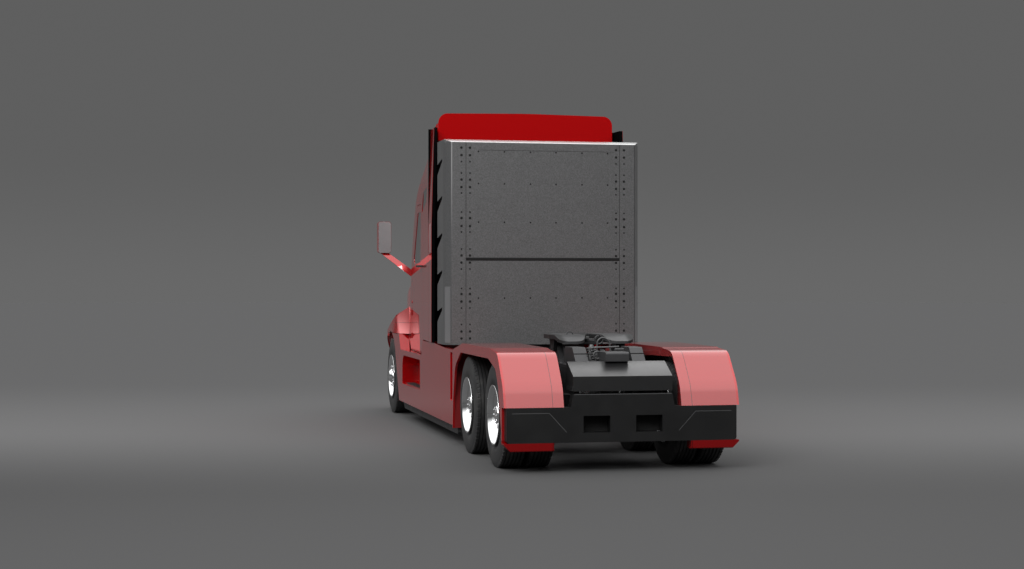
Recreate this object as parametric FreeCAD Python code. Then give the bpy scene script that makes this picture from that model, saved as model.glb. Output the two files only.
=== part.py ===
import FreeCAD, Part

import math
import os
from functools import lru_cache

from FreeCAD import Vector

# Sleeper cab road tractor, millimetres. The row's origin is on the ground under the middle of the vehicle,
# +Z is up, the front faces -Y and the left side of the vehicle faces +X.
# A station is a distance forward of the rear bumper's back face.

# Driving dimensions
overall_length = 9500.0
body_half_width = 1211.0
panel_gap = 8.0
seat_gap = 0.3
running_gap = 6.0
wall = 60.0
overrun = 50.0

# Running gear
tyre_radius = 540.0
tyre_width = 265.0
dual_space = 26.0
rim_radius = 297.0
outer_tyre_face = 1190.0
rear_axle_station = 720.0
tandem_spacing = 1500.0
wheelbase = 6210.0
kingpin_half_track = 860.0

# Frame
rail_outer = 430.0
rail_top = 1030.0
rail_depth = 270.0
rail_flange = 85.0
rail_web = 9.0
rail_tail_station = 300.0

# Cab
cab_back_station = 4750.0
extender_back_station = 4380.0
roof_back_station = 4570.0
cab_bottom = 980.0
sleeper_bottom = 1170.0
cab_step_station = 5450.0
cab_floor = 1240.0
roof_split = 3250.0
roof_top = 4060.0
extender_top = 3845.0

forward_axle_station = rear_axle_station + tandem_spacing
front_axle_station = forward_axle_station + wheelbase


def at(station):
    return overall_length / 2 - station


def side_point(station, z, x=0.0):
    return Vector(x, at(station), z)


def plan_point(station, x, z=0.0):
    return Vector(x, at(station), z)


def section_point(x, z, station=0.0):
    return Vector(x, at(station), z)


def rounded_wire(place, corners):
    """Closed wire of a polygon; a corner (a, b, radius) is rounded by a tangent arc, (a, b) is sharp."""
    runs = []
    count = len(corners)
    for i, corner in enumerate(corners):
        a, b = corner[:2]
        radius = corner[2] if len(corner) > 2 else 0.0
        back = (corners[i - 1][0] - a, corners[i - 1][1] - b)
        ahead = (corners[(i + 1) % count][0] - a, corners[(i + 1) % count][1] - b)
        back_length, ahead_length = math.hypot(*back), math.hypot(*ahead)
        back = (back[0] / back_length, back[1] / back_length)
        ahead = (ahead[0] / ahead_length, ahead[1] / ahead_length)
        if not radius:
            runs.append(((a, b), None, (a, b)))
            continue
        half = math.acos(back[0] * ahead[0] + back[1] * ahead[1]) / 2
        setback = radius / math.tan(half)
        middle = (back[0] + ahead[0], back[1] + ahead[1])
        middle_length = math.hypot(*middle)
        reach = (radius / math.sin(half) - radius) / middle_length
        runs.append(
            (
                (a + back[0] * setback, b + back[1] * setback),
                (a + middle[0] * reach, b + middle[1] * reach),
                (a + ahead[0] * setback, b + ahead[1] * setback),
            )
        )
    edges = []
    for i, (start, middle, end) in enumerate(runs):
        if middle:
            edges.append(Part.Arc(place(*start), place(*middle), place(*end)).toShape())
        following = runs[(i + 1) % count][0]
        if math.dist(end, following) > seat_gap / 10:
            edges.append(Part.makeLine(place(*end), place(*following)))
    return Part.Wire(edges)


def side_prism(corners, x0, x1):
    """Solid between two planes across the vehicle, outline given as (station, z)."""
    wire = rounded_wire(lambda s, z: side_point(s, z, x0), corners)
    return Part.Face(wire).extrude(Vector(x1 - x0, 0, 0))


def plan_prism(corners, z0, z1):
    """Solid between two heights, outline given as (station, x)."""
    wire = rounded_wire(lambda s, x: plan_point(s, x, z0), corners)
    return Part.Face(wire).extrude(Vector(0, 0, z1 - z0))


def section_prism(corners, s0, s1):
    """Solid between two stations, outline given as (x, z)."""
    wire = rounded_wire(lambda x, z: section_point(x, z, s0), corners)
    return Part.Face(wire).extrude(Vector(0, s0 - s1, 0))


def block(x0, x1, s0, s1, z0, z1):
    """Box given by its limits across, along and up."""
    return Part.makeBox(abs(x1 - x0), s1 - s0, z1 - z0, Vector(min(x0, x1), at(s1), z0))


def bar_x(radius, x0, x1, station, z):
    """Round bar lying across the vehicle."""
    return Part.makeCylinder(radius, x1 - x0, side_point(station, z, x0), Vector(1, 0, 0))


def bar_y(radius, x, s0, s1, z):
    """Round bar lying along the vehicle."""
    return Part.makeCylinder(radius, s1 - s0, side_point(s1, z, x), Vector(0, 1, 0))


def bar_z(radius, x, station, z0, z1):
    """Upright round bar."""
    return Part.makeCylinder(radius, z1 - z0, side_point(station, z0, x))


def rod(radius, start, end):
    """Round bar from one point to another."""
    along = end - start
    return Part.makeCylinder(radius, along.Length, start, along)


def turned(corners, station, z):
    """Ring or disc turned about an axis across the vehicle, section given as (x, radius)."""
    wire = rounded_wire(lambda x, r: side_point(station, z + r, x), corners)
    return Part.Face(wire).revolve(side_point(station, z), Vector(1, 0, 0), 360)


def grown(corners, by):
    """The same outline moved outwards by a distance, or inwards where it is negative."""
    count = len(corners)
    area = sum(
        corners[i - 1][0] * corners[i][1] - corners[i][0] * corners[i - 1][1] for i in range(count)
    )
    turn = 1 if area > 0 else -1
    moved = []
    for i, corner in enumerate(corners):
        before, after = corners[i - 1], corners[(i + 1) % count]
        into = (corner[0] - before[0], corner[1] - before[1])
        out = (after[0] - corner[0], after[1] - corner[1])
        into = (into[0] / math.hypot(*into), into[1] / math.hypot(*into))
        out = (out[0] / math.hypot(*out), out[1] / math.hypot(*out))
        cross = into[0] * out[1] - into[1] * out[0]
        step = turn * by / (1 + into[0] * out[0] + into[1] * out[1])
        place = (corner[0] + step * (into[1] + out[1]), corner[1] - step * (into[0] + out[0]))
        radius = corner[2] if len(corner) > 2 else 0.0
        if radius:
            radius = max(radius + (by if cross * turn > 0 else -by), seat_gap)
        moved.append((*place, radius))
    return moved


def other_side(shape):
    return shape.mirror(Vector(0, 0, 0), Vector(1, 0, 0))


def both_sides(shape):
    return [shape, other_side(shape)]


def joined(*shapes):
    solid = shapes[0].fuse(list(shapes[1:])) if len(shapes) > 1 else shapes[0]
    return solid.removeSplitter()


def less(shape, *tools):
    return shape.cut(list(tools))


# Tyres: flat band between straight walls, seated on the rim
rim_seat_gap = 0.3


def tyre_ring(x0, station):
    x1 = x0 + tyre_width
    bore = rim_radius + rim_seat_gap
    corners = [(x0, bore), (x0, tyre_radius), (x1, tyre_radius), (x1, bore)]
    return turned(corners, station, tyre_radius)


# Wheels: dished discs, hub caps and the blind bores that the axle ends run in
rim_lip = 8.0
rim_lip_height = 16.0
rim_wall = 14.0
dish_depth = 95.0
disc_thickness = 60.0
hub_radius = 112.0
hub_length = 70.0
drum_radius = 215.0
spindle_radius = 48.0
bore_clearance = 0.3
spindle_depth = 160.0


def dual_wheel(station):
    """Outer and inner rims of a dual pair with the hub between them, outer face towards +X."""
    outer = outer_tyre_face + rim_lip
    inner = outer_tyre_face - 2 * tyre_width - dual_space - rim_lip
    disc_face = outer - dish_depth
    disc_back = disc_face - disc_thickness
    corners = [
        (inner, rim_radius + rim_lip_height),
        (inner + rim_lip, rim_radius + rim_lip_height),
        (inner + rim_lip, rim_radius),
        (outer - rim_lip, rim_radius),
        (outer - rim_lip, rim_radius + rim_lip_height),
        (outer, rim_radius + rim_lip_height),
        (disc_face, rim_radius - rim_wall * 3),
        (disc_face, hub_radius),
        (disc_face + hub_length, hub_radius),
        (disc_face + hub_length, 0.0),
        (disc_back, 0.0),
        (disc_back, rim_radius - rim_wall),
        (inner, rim_radius - rim_wall),
    ]
    hub = bar_x(drum_radius, inner + overrun, disc_back, station, tyre_radius)
    bore = bar_x(spindle_radius + bore_clearance, inner - overrun, disc_back, station, tyre_radius)
    return less(joined(turned(corners, station, tyre_radius), hub), bore)


def dual_tyres(station):
    return [
        tyre_ring(outer_tyre_face - tyre_width, station),
        tyre_ring(outer_tyre_face - 2 * tyre_width - dual_space, station),
    ]


def steer_wheel():
    """Single front wheel, its disc bulging outwards round the hub cap."""
    outer = outer_tyre_face + rim_lip
    inner = outer_tyre_face - tyre_width - rim_lip
    disc_face = outer - rim_wall * 2
    corners = [
        (inner, rim_radius + rim_lip_height),
        (inner + rim_lip, rim_radius + rim_lip_height),
        (inner + rim_lip, rim_radius),
        (outer - rim_lip, rim_radius),
        (outer - rim_lip, rim_radius + rim_lip_height),
        (outer, rim_radius + rim_lip_height),
        (outer - dish_depth, rim_radius - rim_wall * 2),
        (disc_face, hub_radius * 2),
        (disc_face, hub_radius),
        (disc_face + hub_length, hub_radius / 2),
        (disc_face + hub_length, 0.0),
        (disc_face - disc_thickness, 0.0),
        (disc_face - disc_thickness, hub_radius * 2),
        (outer - dish_depth - disc_thickness, rim_radius - rim_wall),
        (inner, rim_radius - rim_wall),
    ]
    hub = bar_x(hub_radius, inner + dish_depth, disc_face - disc_thickness, front_axle_station, tyre_radius)
    bore_end = disc_face - disc_thickness
    bore = bar_x(spindle_radius + bore_clearance, inner, bore_end, front_axle_station, tyre_radius)
    return less(joined(turned(corners, front_axle_station, tyre_radius), hub), bore)


def front_tyre():
    return tyre_ring(outer_tyre_face - tyre_width, front_axle_station)


# Front axle: dropped forging that ends in the kingpin bosses
beam_width = 110.0
beam_drop_top = 520.0
beam_drop_bottom = 430.0
kingpin_radius = 24.0
kingpin_boss_radius = 52.0
kingpin_boss_height = 130.0
knuckle_ear = 42.0
knuckle_flange_radius = 150.0


def front_axle():
    boss_bottom = tyre_radius - kingpin_boss_height / 2
    boss_top = boss_bottom + kingpin_boss_height
    flat = kingpin_half_track - kingpin_boss_radius * 3
    tip = kingpin_half_track
    neck = tip - kingpin_boss_radius - 2 * running_gap
    corners = [
        (-flat, beam_drop_bottom),
        (flat, beam_drop_bottom),
        (neck, boss_bottom),
        (tip, boss_bottom),
        (tip, boss_top),
        (flat, beam_drop_top),
        (-flat, beam_drop_top),
        (-tip, boss_top),
        (-tip, boss_bottom),
        (-neck, boss_bottom),
    ]
    beam = section_prism(corners, front_axle_station - beam_width / 2, front_axle_station + beam_width / 2)
    bosses = [
        bar_z(kingpin_boss_radius, side * tip, front_axle_station, boss_bottom, boss_top) for side in (1, -1)
    ]
    pins = [
        bar_z(
            kingpin_radius,
            side * tip,
            front_axle_station,
            boss_bottom - knuckle_ear,
            boss_top + knuckle_ear,
        )
        for side in (1, -1)
    ]
    return joined(beam, *bosses, *pins)


# Knuckles: forks over the kingpin bosses, brake flanges, spindles and track rod arms
arm_reach = 210.0
arm_width = 46.0
arm_thickness = 30.0
ball_radius = 11.0
track_rod_radius = 20.0


def knuckle():
    boss_bottom = tyre_radius - kingpin_boss_height / 2 - running_gap
    boss_top = tyre_radius + kingpin_boss_height / 2 + running_gap
    face = outer_tyre_face - tyre_width + rim_lip
    web_start = kingpin_half_track + kingpin_boss_radius + running_gap
    station = front_axle_station
    web = block(web_start, face, station - beam_width / 2, station + beam_width / 2, boss_bottom, boss_top)
    ears = [
        joined(
            bar_z(kingpin_boss_radius, kingpin_half_track, station, low, low + knuckle_ear),
            block(
                kingpin_half_track,
                face,
                station - kingpin_boss_radius,
                station + kingpin_boss_radius,
                low,
                low + knuckle_ear,
            ),
        )
        for low in (boss_bottom - knuckle_ear, boss_top)
    ]
    flange = bar_x(knuckle_flange_radius, web_start, face, station, tyre_radius)
    spindle = bar_x(spindle_radius, face, face + spindle_depth, station, tyre_radius)
    arm_x = kingpin_half_track
    arm = plan_prism(
        [
            (station, arm_x - arm_width),
            (station, arm_x + arm_width),
            (station - arm_reach, arm_x + arm_width / 2),
            (station - arm_reach - arm_width / 2, arm_x),
            (station - arm_reach, arm_x - arm_width / 2),
        ],
        boss_bottom - knuckle_ear - arm_thickness,
        boss_bottom - knuckle_ear,
    )
    ball = bar_z(
        ball_radius,
        arm_x,
        station - arm_reach,
        boss_bottom - knuckle_ear - arm_thickness - 2 * track_rod_radius - running_gap,
        boss_bottom - knuckle_ear - arm_thickness,
    )
    pin_bore = bar_z(
        kingpin_radius + bore_clearance,
        kingpin_half_track,
        station,
        boss_bottom - knuckle_ear - seat_gap,
        boss_top + knuckle_ear + seat_gap,
    )
    return less(joined(web, *ears, flange, spindle, arm, ball), pin_bore)


def track_rod():
    """Rod that joins the knuckle arms, which stay parallel; its eyes hang on the ball pins."""
    arm_x = kingpin_half_track
    station = front_axle_station - arm_reach
    arm_bottom = tyre_radius - kingpin_boss_height / 2 - running_gap - knuckle_ear - arm_thickness
    z = arm_bottom - running_gap - track_rod_radius
    eyes = [
        bar_z(track_rod_radius * 1.3, side * arm_x, station, z - track_rod_radius, z + track_rod_radius)
        for side in (1, -1)
    ]
    bar = bar_x(track_rod_radius * 0.8, -arm_x, arm_x, station, z)
    left = bar_z(ball_radius + bore_clearance, arm_x, station, z - overrun, z + overrun)
    right = bar_z(ball_radius + running_gap / 3, -arm_x, station, z - overrun, z + overrun)
    return less(joined(bar, *eyes), left, right)


# Frame: two channel rails with cross members, mounts and outriggers
rail_nose_station = 9130.0
cross_member_width = 90.0
cross_member_depth = 150.0
cross_member_station_shares = [0.02, 0.125, 0.30, 0.42, 0.53, 0.66, 1.0]
module_bottom = 1165.0
module_back_station = 3555.0
module_front_station = 4150.0
mount_width = 80.0
mount_half_length = 520.0
outrigger_low = 860.0
outrigger_high = 940.0
outrigger_width = 60.0
skirt_thickness = 60.0
bumper_thickness = 110.0
bumper_hanger_low = 470.0
bumper_hanger_length = 275.0
bumper_hanger_plate = 25.0
fender_inner = 614.0
fender_bracket_top = 1165.0
front_hanger_low = 330.0
hood_nose_station = 9420.0
hood_low = 620.0
hood_pivot_z = 600.0
hood_lug_x = 400.0
hood_lug_width = 30.0
hood_lug_radius = 18.0
hood_pin_radius = 9.0


def rail():
    """Channel section with its open side towards the middle."""
    inner = rail_outer - rail_flange
    bottom = rail_top - rail_depth
    corners = [
        (inner, bottom),
        (rail_outer, bottom),
        (rail_outer, rail_top),
        (inner, rail_top),
        (inner, rail_top - rail_web),
        (rail_outer - rail_web, rail_top - rail_web),
        (rail_outer - rail_web, bottom + rail_web),
        (inner, bottom + rail_web),
    ]
    return section_prism(corners, rail_tail_station, rail_nose_station)


def hood_pivot_post():
    """Upright with the pin that the hood's lug turns on."""
    face = hood_lug_x - running_gap
    post = block(
        rail_outer - rail_flange,
        face,
        hood_nose_station - hood_lug_radius,
        front_bumper_back_station - seat_gap,
        front_hanger_low,
        hood_low - 2 * panel_gap,
    )
    pin_end = hood_lug_x + hood_lug_width
    pin = bar_x(hood_pin_radius, face - hood_lug_radius, pin_end, hood_nose_station, hood_pivot_z)
    return joined(post, pin)


def frame():
    reach = rail_outer - rail_web
    low = rail_top - rail_depth / 2 - cross_member_depth / 2
    length = rail_nose_station - rail_tail_station
    members = []
    for share in cross_member_station_shares:
        start = rail_tail_station + share * (length - cross_member_width)
        members.append(
            block(-reach, reach, start, start + cross_member_width, low, low + cross_member_depth)
        )
    mounts = [
        block(-mount_half_length, mount_half_length, start, start + mount_width, rail_top, top)
        for start, top in (
            (module_back_station + mount_width, module_bottom - seat_gap),
            (module_front_station - 2 * mount_width, module_bottom - seat_gap),
            (cab_back_station + 2 * mount_width, sleeper_bottom - seat_gap),
        )
    ]
    cab_front_mount = block(
        -mount_half_length,
        mount_half_length,
        door_front_station - mount_width,
        door_front_station,
        rail_top,
        sleeper_bottom - seat_gap,
    )
    skirt_reach = body_half_width - skirt_thickness - seat_gap
    sides = []
    for start in outrigger_stations:
        sides += both_sides(
            block(rail_outer, skirt_reach, start, start + outrigger_width, outrigger_low, outrigger_high)
        )
    fender_start = (rear_axle_station + forward_axle_station - mount_width) / 2
    sides += both_sides(
        block(
            rail_outer,
            fender_inner - seat_gap,
            fender_start,
            fender_start + mount_width,
            rail_top - rail_depth / 2,
            fender_bracket_top,
        )
    )
    sides += both_sides(
        block(
            rail_outer,
            rail_outer + bumper_hanger_plate,
            bumper_thickness + seat_gap,
            bumper_thickness + bumper_hanger_length,
            bumper_hanger_low,
            cover_low - panel_gap,
        )
    )
    sides += both_sides(
        block(
            rail_outer - rail_flange,
            rail_outer,
            rail_nose_station - overrun,
            rail_nose_station,
            front_hanger_low,
            rail_top - rail_depth,
        )
    )
    sides += both_sides(
        block(
            rail_outer - rail_flange,
            rail_outer,
            rail_nose_station,
            front_bumper_back_station - seat_gap,
            front_hanger_low,
            front_hanger_low + cross_member_width,
        )
    )
    sides += both_sides(hood_pivot_post())
    return joined(*both_sides(rail()), *members, *mounts, cab_front_mount, *sides)


# Drive axles, driveshafts and suspension
axle_tube_radius = 85.0
diff_radius = 235.0
diff_width = 300.0
diff_nose_radius = 110.0
diff_nose_length = 330.0
shaft_radius = 55.0
shaft_end_gap = 0.3
spring_width = 80.0
spring_thickness = 60.0
spring_half_length = 640.0
spring_shackle_depth = 95.0
trailing_beam_width = 90.0
trailing_beam_depth = 70.0
trailing_beam_ahead = 520.0
trailing_beam_behind = 330.0
air_spring_radius = 120.0
shaft_joint_z_share = 1.02


def drive_axle(station):
    drum_face = outer_tyre_face - 2 * tyre_width - dual_space - rim_lip
    tip = outer_tyre_face + rim_lip - dish_depth - disc_thickness - running_gap
    tube = bar_x(axle_tube_radius, -drum_face + overrun / 2, drum_face - overrun / 2, station, tyre_radius)
    spindle = bar_x(spindle_radius, -tip, tip, station, tyre_radius)
    half = diff_width / 2
    corners = [
        (-half, 0.0),
        (-half, diff_nose_radius),
        (-half / 2, diff_radius),
        (half / 2, diff_radius),
        (half, diff_nose_radius),
        (half, 0.0),
    ]
    banjo = turned(corners, station, tyre_radius)
    nose_z = tyre_radius * shaft_joint_z_share
    nose = bar_y(diff_nose_radius, 0.0, station, station + diff_nose_length, nose_z)
    return joined(tube, spindle, banjo, nose)


def drive_axles():
    return [drive_axle(rear_axle_station), drive_axle(forward_axle_station)]


def driveshafts():
    z = tyre_radius * shaft_joint_z_share
    short = rod(
        shaft_radius,
        side_point(rear_axle_station + diff_nose_length + shaft_end_gap, z),
        side_point(forward_axle_station - diff_radius - shaft_end_gap, z),
    )
    long = rod(
        shaft_radius,
        side_point(forward_axle_station + diff_nose_length + shaft_end_gap, z),
        side_point(gearbox_tail_station - shaft_end_gap, z),
    )
    return [short, long]


def leaf_spring(side):
    """Parabolic spring on the front axle with a hanger at each end."""
    x0 = side * rail_outer - spring_width / 2 - side * spring_width / 2
    x1 = x0 + spring_width
    low = beam_drop_top + seat_gap
    rail_bottom = rail_top - rail_depth
    start, end = front_axle_station - spring_half_length, front_axle_station + spring_half_length
    rise = rail_bottom - seat_gap - spring_shackle_depth
    corners = [
        (start, rise),
        (front_axle_station - beam_width, low),
        (front_axle_station + beam_width, low),
        (end, rise),
        (end, rise + spring_thickness / 2),
        (front_axle_station + beam_width, low + spring_thickness),
        (front_axle_station - beam_width, low + spring_thickness),
        (start, rise + spring_thickness / 2),
    ]
    leaf = side_prism(corners, x0, x1)
    hangers = [
        block(x0, x1, s, s + spring_width, rise, rail_bottom - seat_gap) for s in (start, end - spring_width)
    ]
    return joined(leaf, *hangers)


def trailing_beam(side, station):
    """Beam under a drive axle, pivoting in a hanger ahead of it, with the air spring behind."""
    x = side * (rail_outer - trailing_beam_width / 2)
    x0, x1 = x - trailing_beam_width / 2, x + trailing_beam_width / 2
    top = tyre_radius - axle_tube_radius - seat_gap
    rail_bottom = rail_top - rail_depth - seat_gap
    start, end = station - trailing_beam_behind, station + trailing_beam_ahead
    beam = block(x0, x1, start, end, top - trailing_beam_depth, top)
    hanger = block(x0, x1, end - trailing_beam_width, end, top - trailing_beam_depth, rail_bottom)
    bag = bar_z(air_spring_radius, x, start + air_spring_radius, top, rail_bottom)
    return joined(beam, hanger, bag)


def suspension():
    solids = [leaf_spring(1), leaf_spring(-1)]
    for station in (rear_axle_station, forward_axle_station):
        solids += [trailing_beam(1, station), trailing_beam(-1, station)]
    return solids


# Engine and gearbox, one plain block on its mounts
engine_back_station = 7960.0
engine_front_station = 8960.0
engine_half_width = 330.0
engine_bottom = 640.0
engine_top = 1480.0
engine_mount_depth = 90.0
gearbox_tail_station = 6750.0
gearbox_half_width = 210.0
gearbox_bottom = 560.0
gearbox_top = 990.0
gearbox_tail_radius = 90.0


def engine_block():
    chamfer = engine_half_width / 4
    corners = [
        (-engine_half_width, engine_bottom),
        (engine_half_width, engine_bottom),
        (engine_half_width, engine_top - chamfer),
        (engine_half_width - chamfer, engine_top),
        (chamfer - engine_half_width, engine_top),
        (-engine_half_width, engine_top - chamfer),
    ]
    block_solid = section_prism(corners, engine_back_station, engine_front_station)
    gearbox = side_prism(
        [
            (engine_back_station, gearbox_bottom),
            (engine_back_station, gearbox_top),
            (gearbox_tail_station + gearbox_half_width, gearbox_top - gearbox_tail_radius),
            (gearbox_tail_station + gearbox_half_width, gearbox_bottom - gearbox_tail_radius),
        ],
        -gearbox_half_width,
        gearbox_half_width,
    )
    tail = bar_y(
        gearbox_tail_radius,
        0.0,
        gearbox_tail_station,
        gearbox_tail_station + gearbox_half_width * 2,
        tyre_radius * shaft_joint_z_share,
    )
    mount_z = rail_top - rail_depth / 2
    mounts = [
        block(
            rail_web - rail_outer + seat_gap,
            rail_outer - rail_web - seat_gap,
            s,
            s + mount_width,
            mount_z - engine_mount_depth / 2,
            mount_z + engine_mount_depth / 2,
        )
        for s in (engine_back_station + mount_width, engine_front_station - 2 * mount_width)
    ]
    return joined(block_solid, gearbox, tail, *mounts)


# Fuel tanks on brackets between rail and skirt
tank_radius = 290.0
tank_x = 850.0
tank_z = 600.0
tank_back_station = 3700.0
tank_front_station = 5250.0
tank_bracket_height = 120.0


def fuel_tank():
    tank = bar_y(tank_radius, tank_x, tank_back_station, tank_front_station, tank_z)
    rims = [edge for edge in tank.Edges if edge.Curve.TypeId == "Part::GeomCircle"]
    tank = tank.makeChamfer(tank_radius / 12, rims)
    z = rail_top - rail_depth
    brackets = [
        block(
            rail_outer + seat_gap, tank_x - tank_radius / 2, s, s + mount_width, z, z + tank_bracket_height
        )
        for s in (tank_back_station + 2 * mount_width, tank_front_station - 3 * mount_width)
    ]
    return joined(tank, *brackets)


# Side skirts: thick panels, a recessed strip behind, a step recess and the fixed foot of the front fender
skirt_bottom = 245.0
skirt_top = 1160.0
skirt_back_top = 1130.0
ledge_z = 972.0
skirt_back_station = 2985.0
fender_foot_station = 7360.0
fender_seam_z = 1190.0
strip_front_station = 3220.0
strip_edge = 24.0
strip_low = 530.0
strip_high = 1095.0
strip_depth = 40.0
step_back_station = 5560.0
step_front_station = 7180.0
step_low = 500.0
step_high = 900.0
step_depth = 205.0
step_shell = 22.0
step_corner = 45.0
step_front_corner = 170.0
step_tread = 34.0
ledge_depth = 190.0
arch_radius = 665.0
outrigger_stations = [3320.0, 5380.0]
lower_rail_low = 145.0
lower_rail_inset = 50.0
lower_rail_front_station = 7300.0
arch_leave_shares = (0.947, 0.33)
skirt_foot_station = 7500.0
fender_slope_share = 0.72


def arch_cut():
    """Round wheel opening of the front arch, both sides at once."""
    return bar_x(arch_radius, -2 * body_half_width, 2 * body_half_width, front_axle_station, tyre_radius)


def side_skirt():
    outer = body_half_width
    inner = outer - skirt_thickness
    slope_station = fender_foot_station + (fender_seam_z - ledge_z) * fender_slope_share
    corners = [
        (skirt_back_station, skirt_bottom, strip_edge),
        (skirt_back_station, skirt_back_top),
        (module_back_station, skirt_back_top),
        (extender_back_station, skirt_top),
        (cab_step_station - 2 * step_corner - panel_gap, skirt_top),
        (cab_step_station - panel_gap, ledge_z),
        (fender_foot_station, ledge_z),
        (slope_station, fender_seam_z - panel_gap),
        (front_axle_station, fender_seam_z - panel_gap),
        (
            front_axle_station - arch_radius * arch_leave_shares[0],
            tyre_radius + arch_radius * arch_leave_shares[1],
        ),
        (skirt_foot_station, skirt_bottom),
    ]
    panel = side_prism(corners, inner, outer)
    ledge_low = ledge_z - step_shell
    ledge = block(
        inner - ledge_depth, outer - overrun, cab_step_station, fender_foot_station, ledge_low, ledge_z
    )
    foot = side_prism(
        [
            (fender_foot_station - ledge_depth / 2, ledge_low),
            (fender_foot_station, ledge_z),
            (slope_station, fender_seam_z - panel_gap),
            (front_axle_station - arch_radius / 2, fender_seam_z - panel_gap),
            (front_axle_station - arch_radius / 2, ledge_low),
        ],
        inner - ledge_depth,
        outer,
    )
    recess = [
        (step_back_station, step_low, step_corner),
        (step_back_station, step_high, step_corner),
        (step_front_station, step_high, step_front_corner),
        (step_front_station, step_low, step_corner),
    ]
    pan_back, pan_front = outer - step_depth - step_shell, inner - seat_gap
    pan = side_prism(grown(recess, step_shell), pan_back, pan_front)
    hole = side_prism(recess, outer - step_depth, outer + overrun)
    tread_ends = (step_back_station + step_corner, step_front_station - step_corner)
    tread_top = step_low + step_shell / 2
    tread = block(pan_back + step_shell / 2, outer - step_tread, *tread_ends, step_low + seat_gap, tread_top)
    root_low = step_low - step_shell / 2
    tread_root = block(pan_back + step_shell / 2, pan_front, *tread_ends, root_low, tread_top)
    strip = side_prism(
        [
            (skirt_back_station + strip_edge, strip_low, strip_edge / 2),
            (skirt_back_station + strip_edge, strip_high, strip_edge / 2),
            (strip_front_station, strip_high, strip_edge / 2),
            (strip_front_station, strip_low, strip_edge / 2),
        ],
        outer - strip_depth,
        outer + overrun,
    )
    beside_cab = cab_form(-panel_gap).common(
        cab_slab(cab_step_station - 2 * panel_gap, overall_length, 0.0, roof_top)
    )
    body = less(joined(panel, ledge, foot), hole, strip, arch_cut(), beside_cab)
    return [body, joined(less(pan, hole), tread, tread_root)]


def side_skirts():
    return [solid for part in side_skirt() for solid in both_sides(part)]


def lower_rails():
    outer = body_half_width - lower_rail_inset
    corners = [
        (skirt_back_station, lower_rail_low + strip_edge),
        (skirt_back_station, skirt_bottom - seat_gap),
        (skirt_foot_station - overrun, skirt_bottom - seat_gap),
        (lower_rail_front_station, lower_rail_low + strip_edge),
        (lower_rail_front_station - strip_edge, lower_rail_low),
        (skirt_back_station + strip_edge, lower_rail_low),
    ]
    return both_sides(side_prism(corners, outer - skirt_thickness, outer))


# Cab: one tapered form from the floor to the roof, lofted through plan outlines
form_back_half_width = 1251.0
cab_taper_share = 0.06
cab_nose_station = 7850.0
cab_corner_radius = 240.0
cab_nose_radius = 2200.0
# Each level: height share of the cab, then shares of its length at the side corner and at the nose
cab_level_shares = [
    (-0.016, 0.906, 1.0),
    (0.185, 0.897, 1.0),
    (0.315, 0.855, 1.0),
    (0.494, 0.758, 0.887),
    (0.656, 0.616, 0.735),
    (0.744, 0.510, 0.642),
    (0.818, 0.403, 0.545),
    (0.893, 0.274, 0.423),
    (0.948, 0.129, 0.294),
    (1.013, 0.016, 0.145),
]
front_offset_share = 1.05
corner_offset_share = 0.73


def side_half_width(station):
    return form_back_half_width - cab_taper_share * (station - extender_back_station)


@lru_cache
def cab_form(inset):
    """The cab's closed outer form, drawn in by a distance all round; its back is left over-long."""
    back = extender_back_station - (overrun if inset else 0.0)
    length = cab_nose_station - cab_back_station
    wires = []
    for height_share, corner_share, nose_share in cab_level_shares:
        z = cab_bottom + height_share * (roof_top - cab_bottom)
        corner = cab_back_station + corner_share * length - corner_offset_share * inset
        nose = cab_back_station + nose_share * length - front_offset_share * inset
        back_x = side_half_width(back) - inset
        corner_x = side_half_width(corner) - inset
        corners = [
            (back, back_x),
            (corner, corner_x, cab_corner_radius),
            (nose, 0.0, cab_nose_radius),
            (corner, -corner_x, cab_corner_radius),
            (back, -back_x),
        ]
        wires.append(rounded_wire(lambda s, x: plan_point(s, x, z), corners))
    return Part.makeLoft(wires, True, False)


def cab_slab(s0, s1, z0, z1):
    """Full-width box used to trim the cab form."""
    return block(-2 * body_half_width, 2 * body_half_width, s0, s1, z0, z1)


# Doors and windows, outlines seen from the side
door_back_station = 5470.0
door_front_station = 7060.0
door_bottom = 996.0
door_top = 2950.0
door_top_back_station = 5800.0
door_top_front_station = 6260.0
door_back_top = 2600.0
door_shoulder_station = 6990.0
door_shoulder_z = 2120.0
door_corner = 60.0
window_frame = 95.0
window_back_station = 5780.0
window_low = 2180.0
glass_depth = 6.0
glass_thickness = 6.0
sleeper_window_back_station = 4960.0
sleeper_window_front_station = 5620.0
sleeper_window_low = 2830.0
sleeper_window_high = 3140.0
screen_half_width = 930.0
screen_low = 2030.0
screen_high = 2920.0
screen_corner = 120.0
screen_reach_station = 6450.0


def door_outline():
    return [
        (door_back_station, door_bottom, door_corner),
        (door_back_station, door_back_top, door_corner),
        (door_top_back_station, door_top, door_corner),
        (door_top_front_station, door_top, door_corner),
        (door_shoulder_station, door_shoulder_z, 2 * door_corner),
        (door_front_station, door_bottom + (door_shoulder_z - door_bottom) / 2, 2 * door_corner),
        (door_front_station, door_bottom, door_corner / 3),
    ]


def door_window_outline():
    slope = (door_shoulder_station - door_top_front_station) / (door_top - door_shoulder_z)
    front_low = door_shoulder_station - (window_low - door_shoulder_z) * slope - window_frame
    front_high = door_top_front_station - window_frame * (1 - slope / 2)
    return [
        (window_back_station, window_low, door_corner),
        (window_back_station, door_top - window_frame, door_corner),
        (front_high, door_top - window_frame, door_corner),
        (front_low, window_low, door_corner),
    ]


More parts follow.
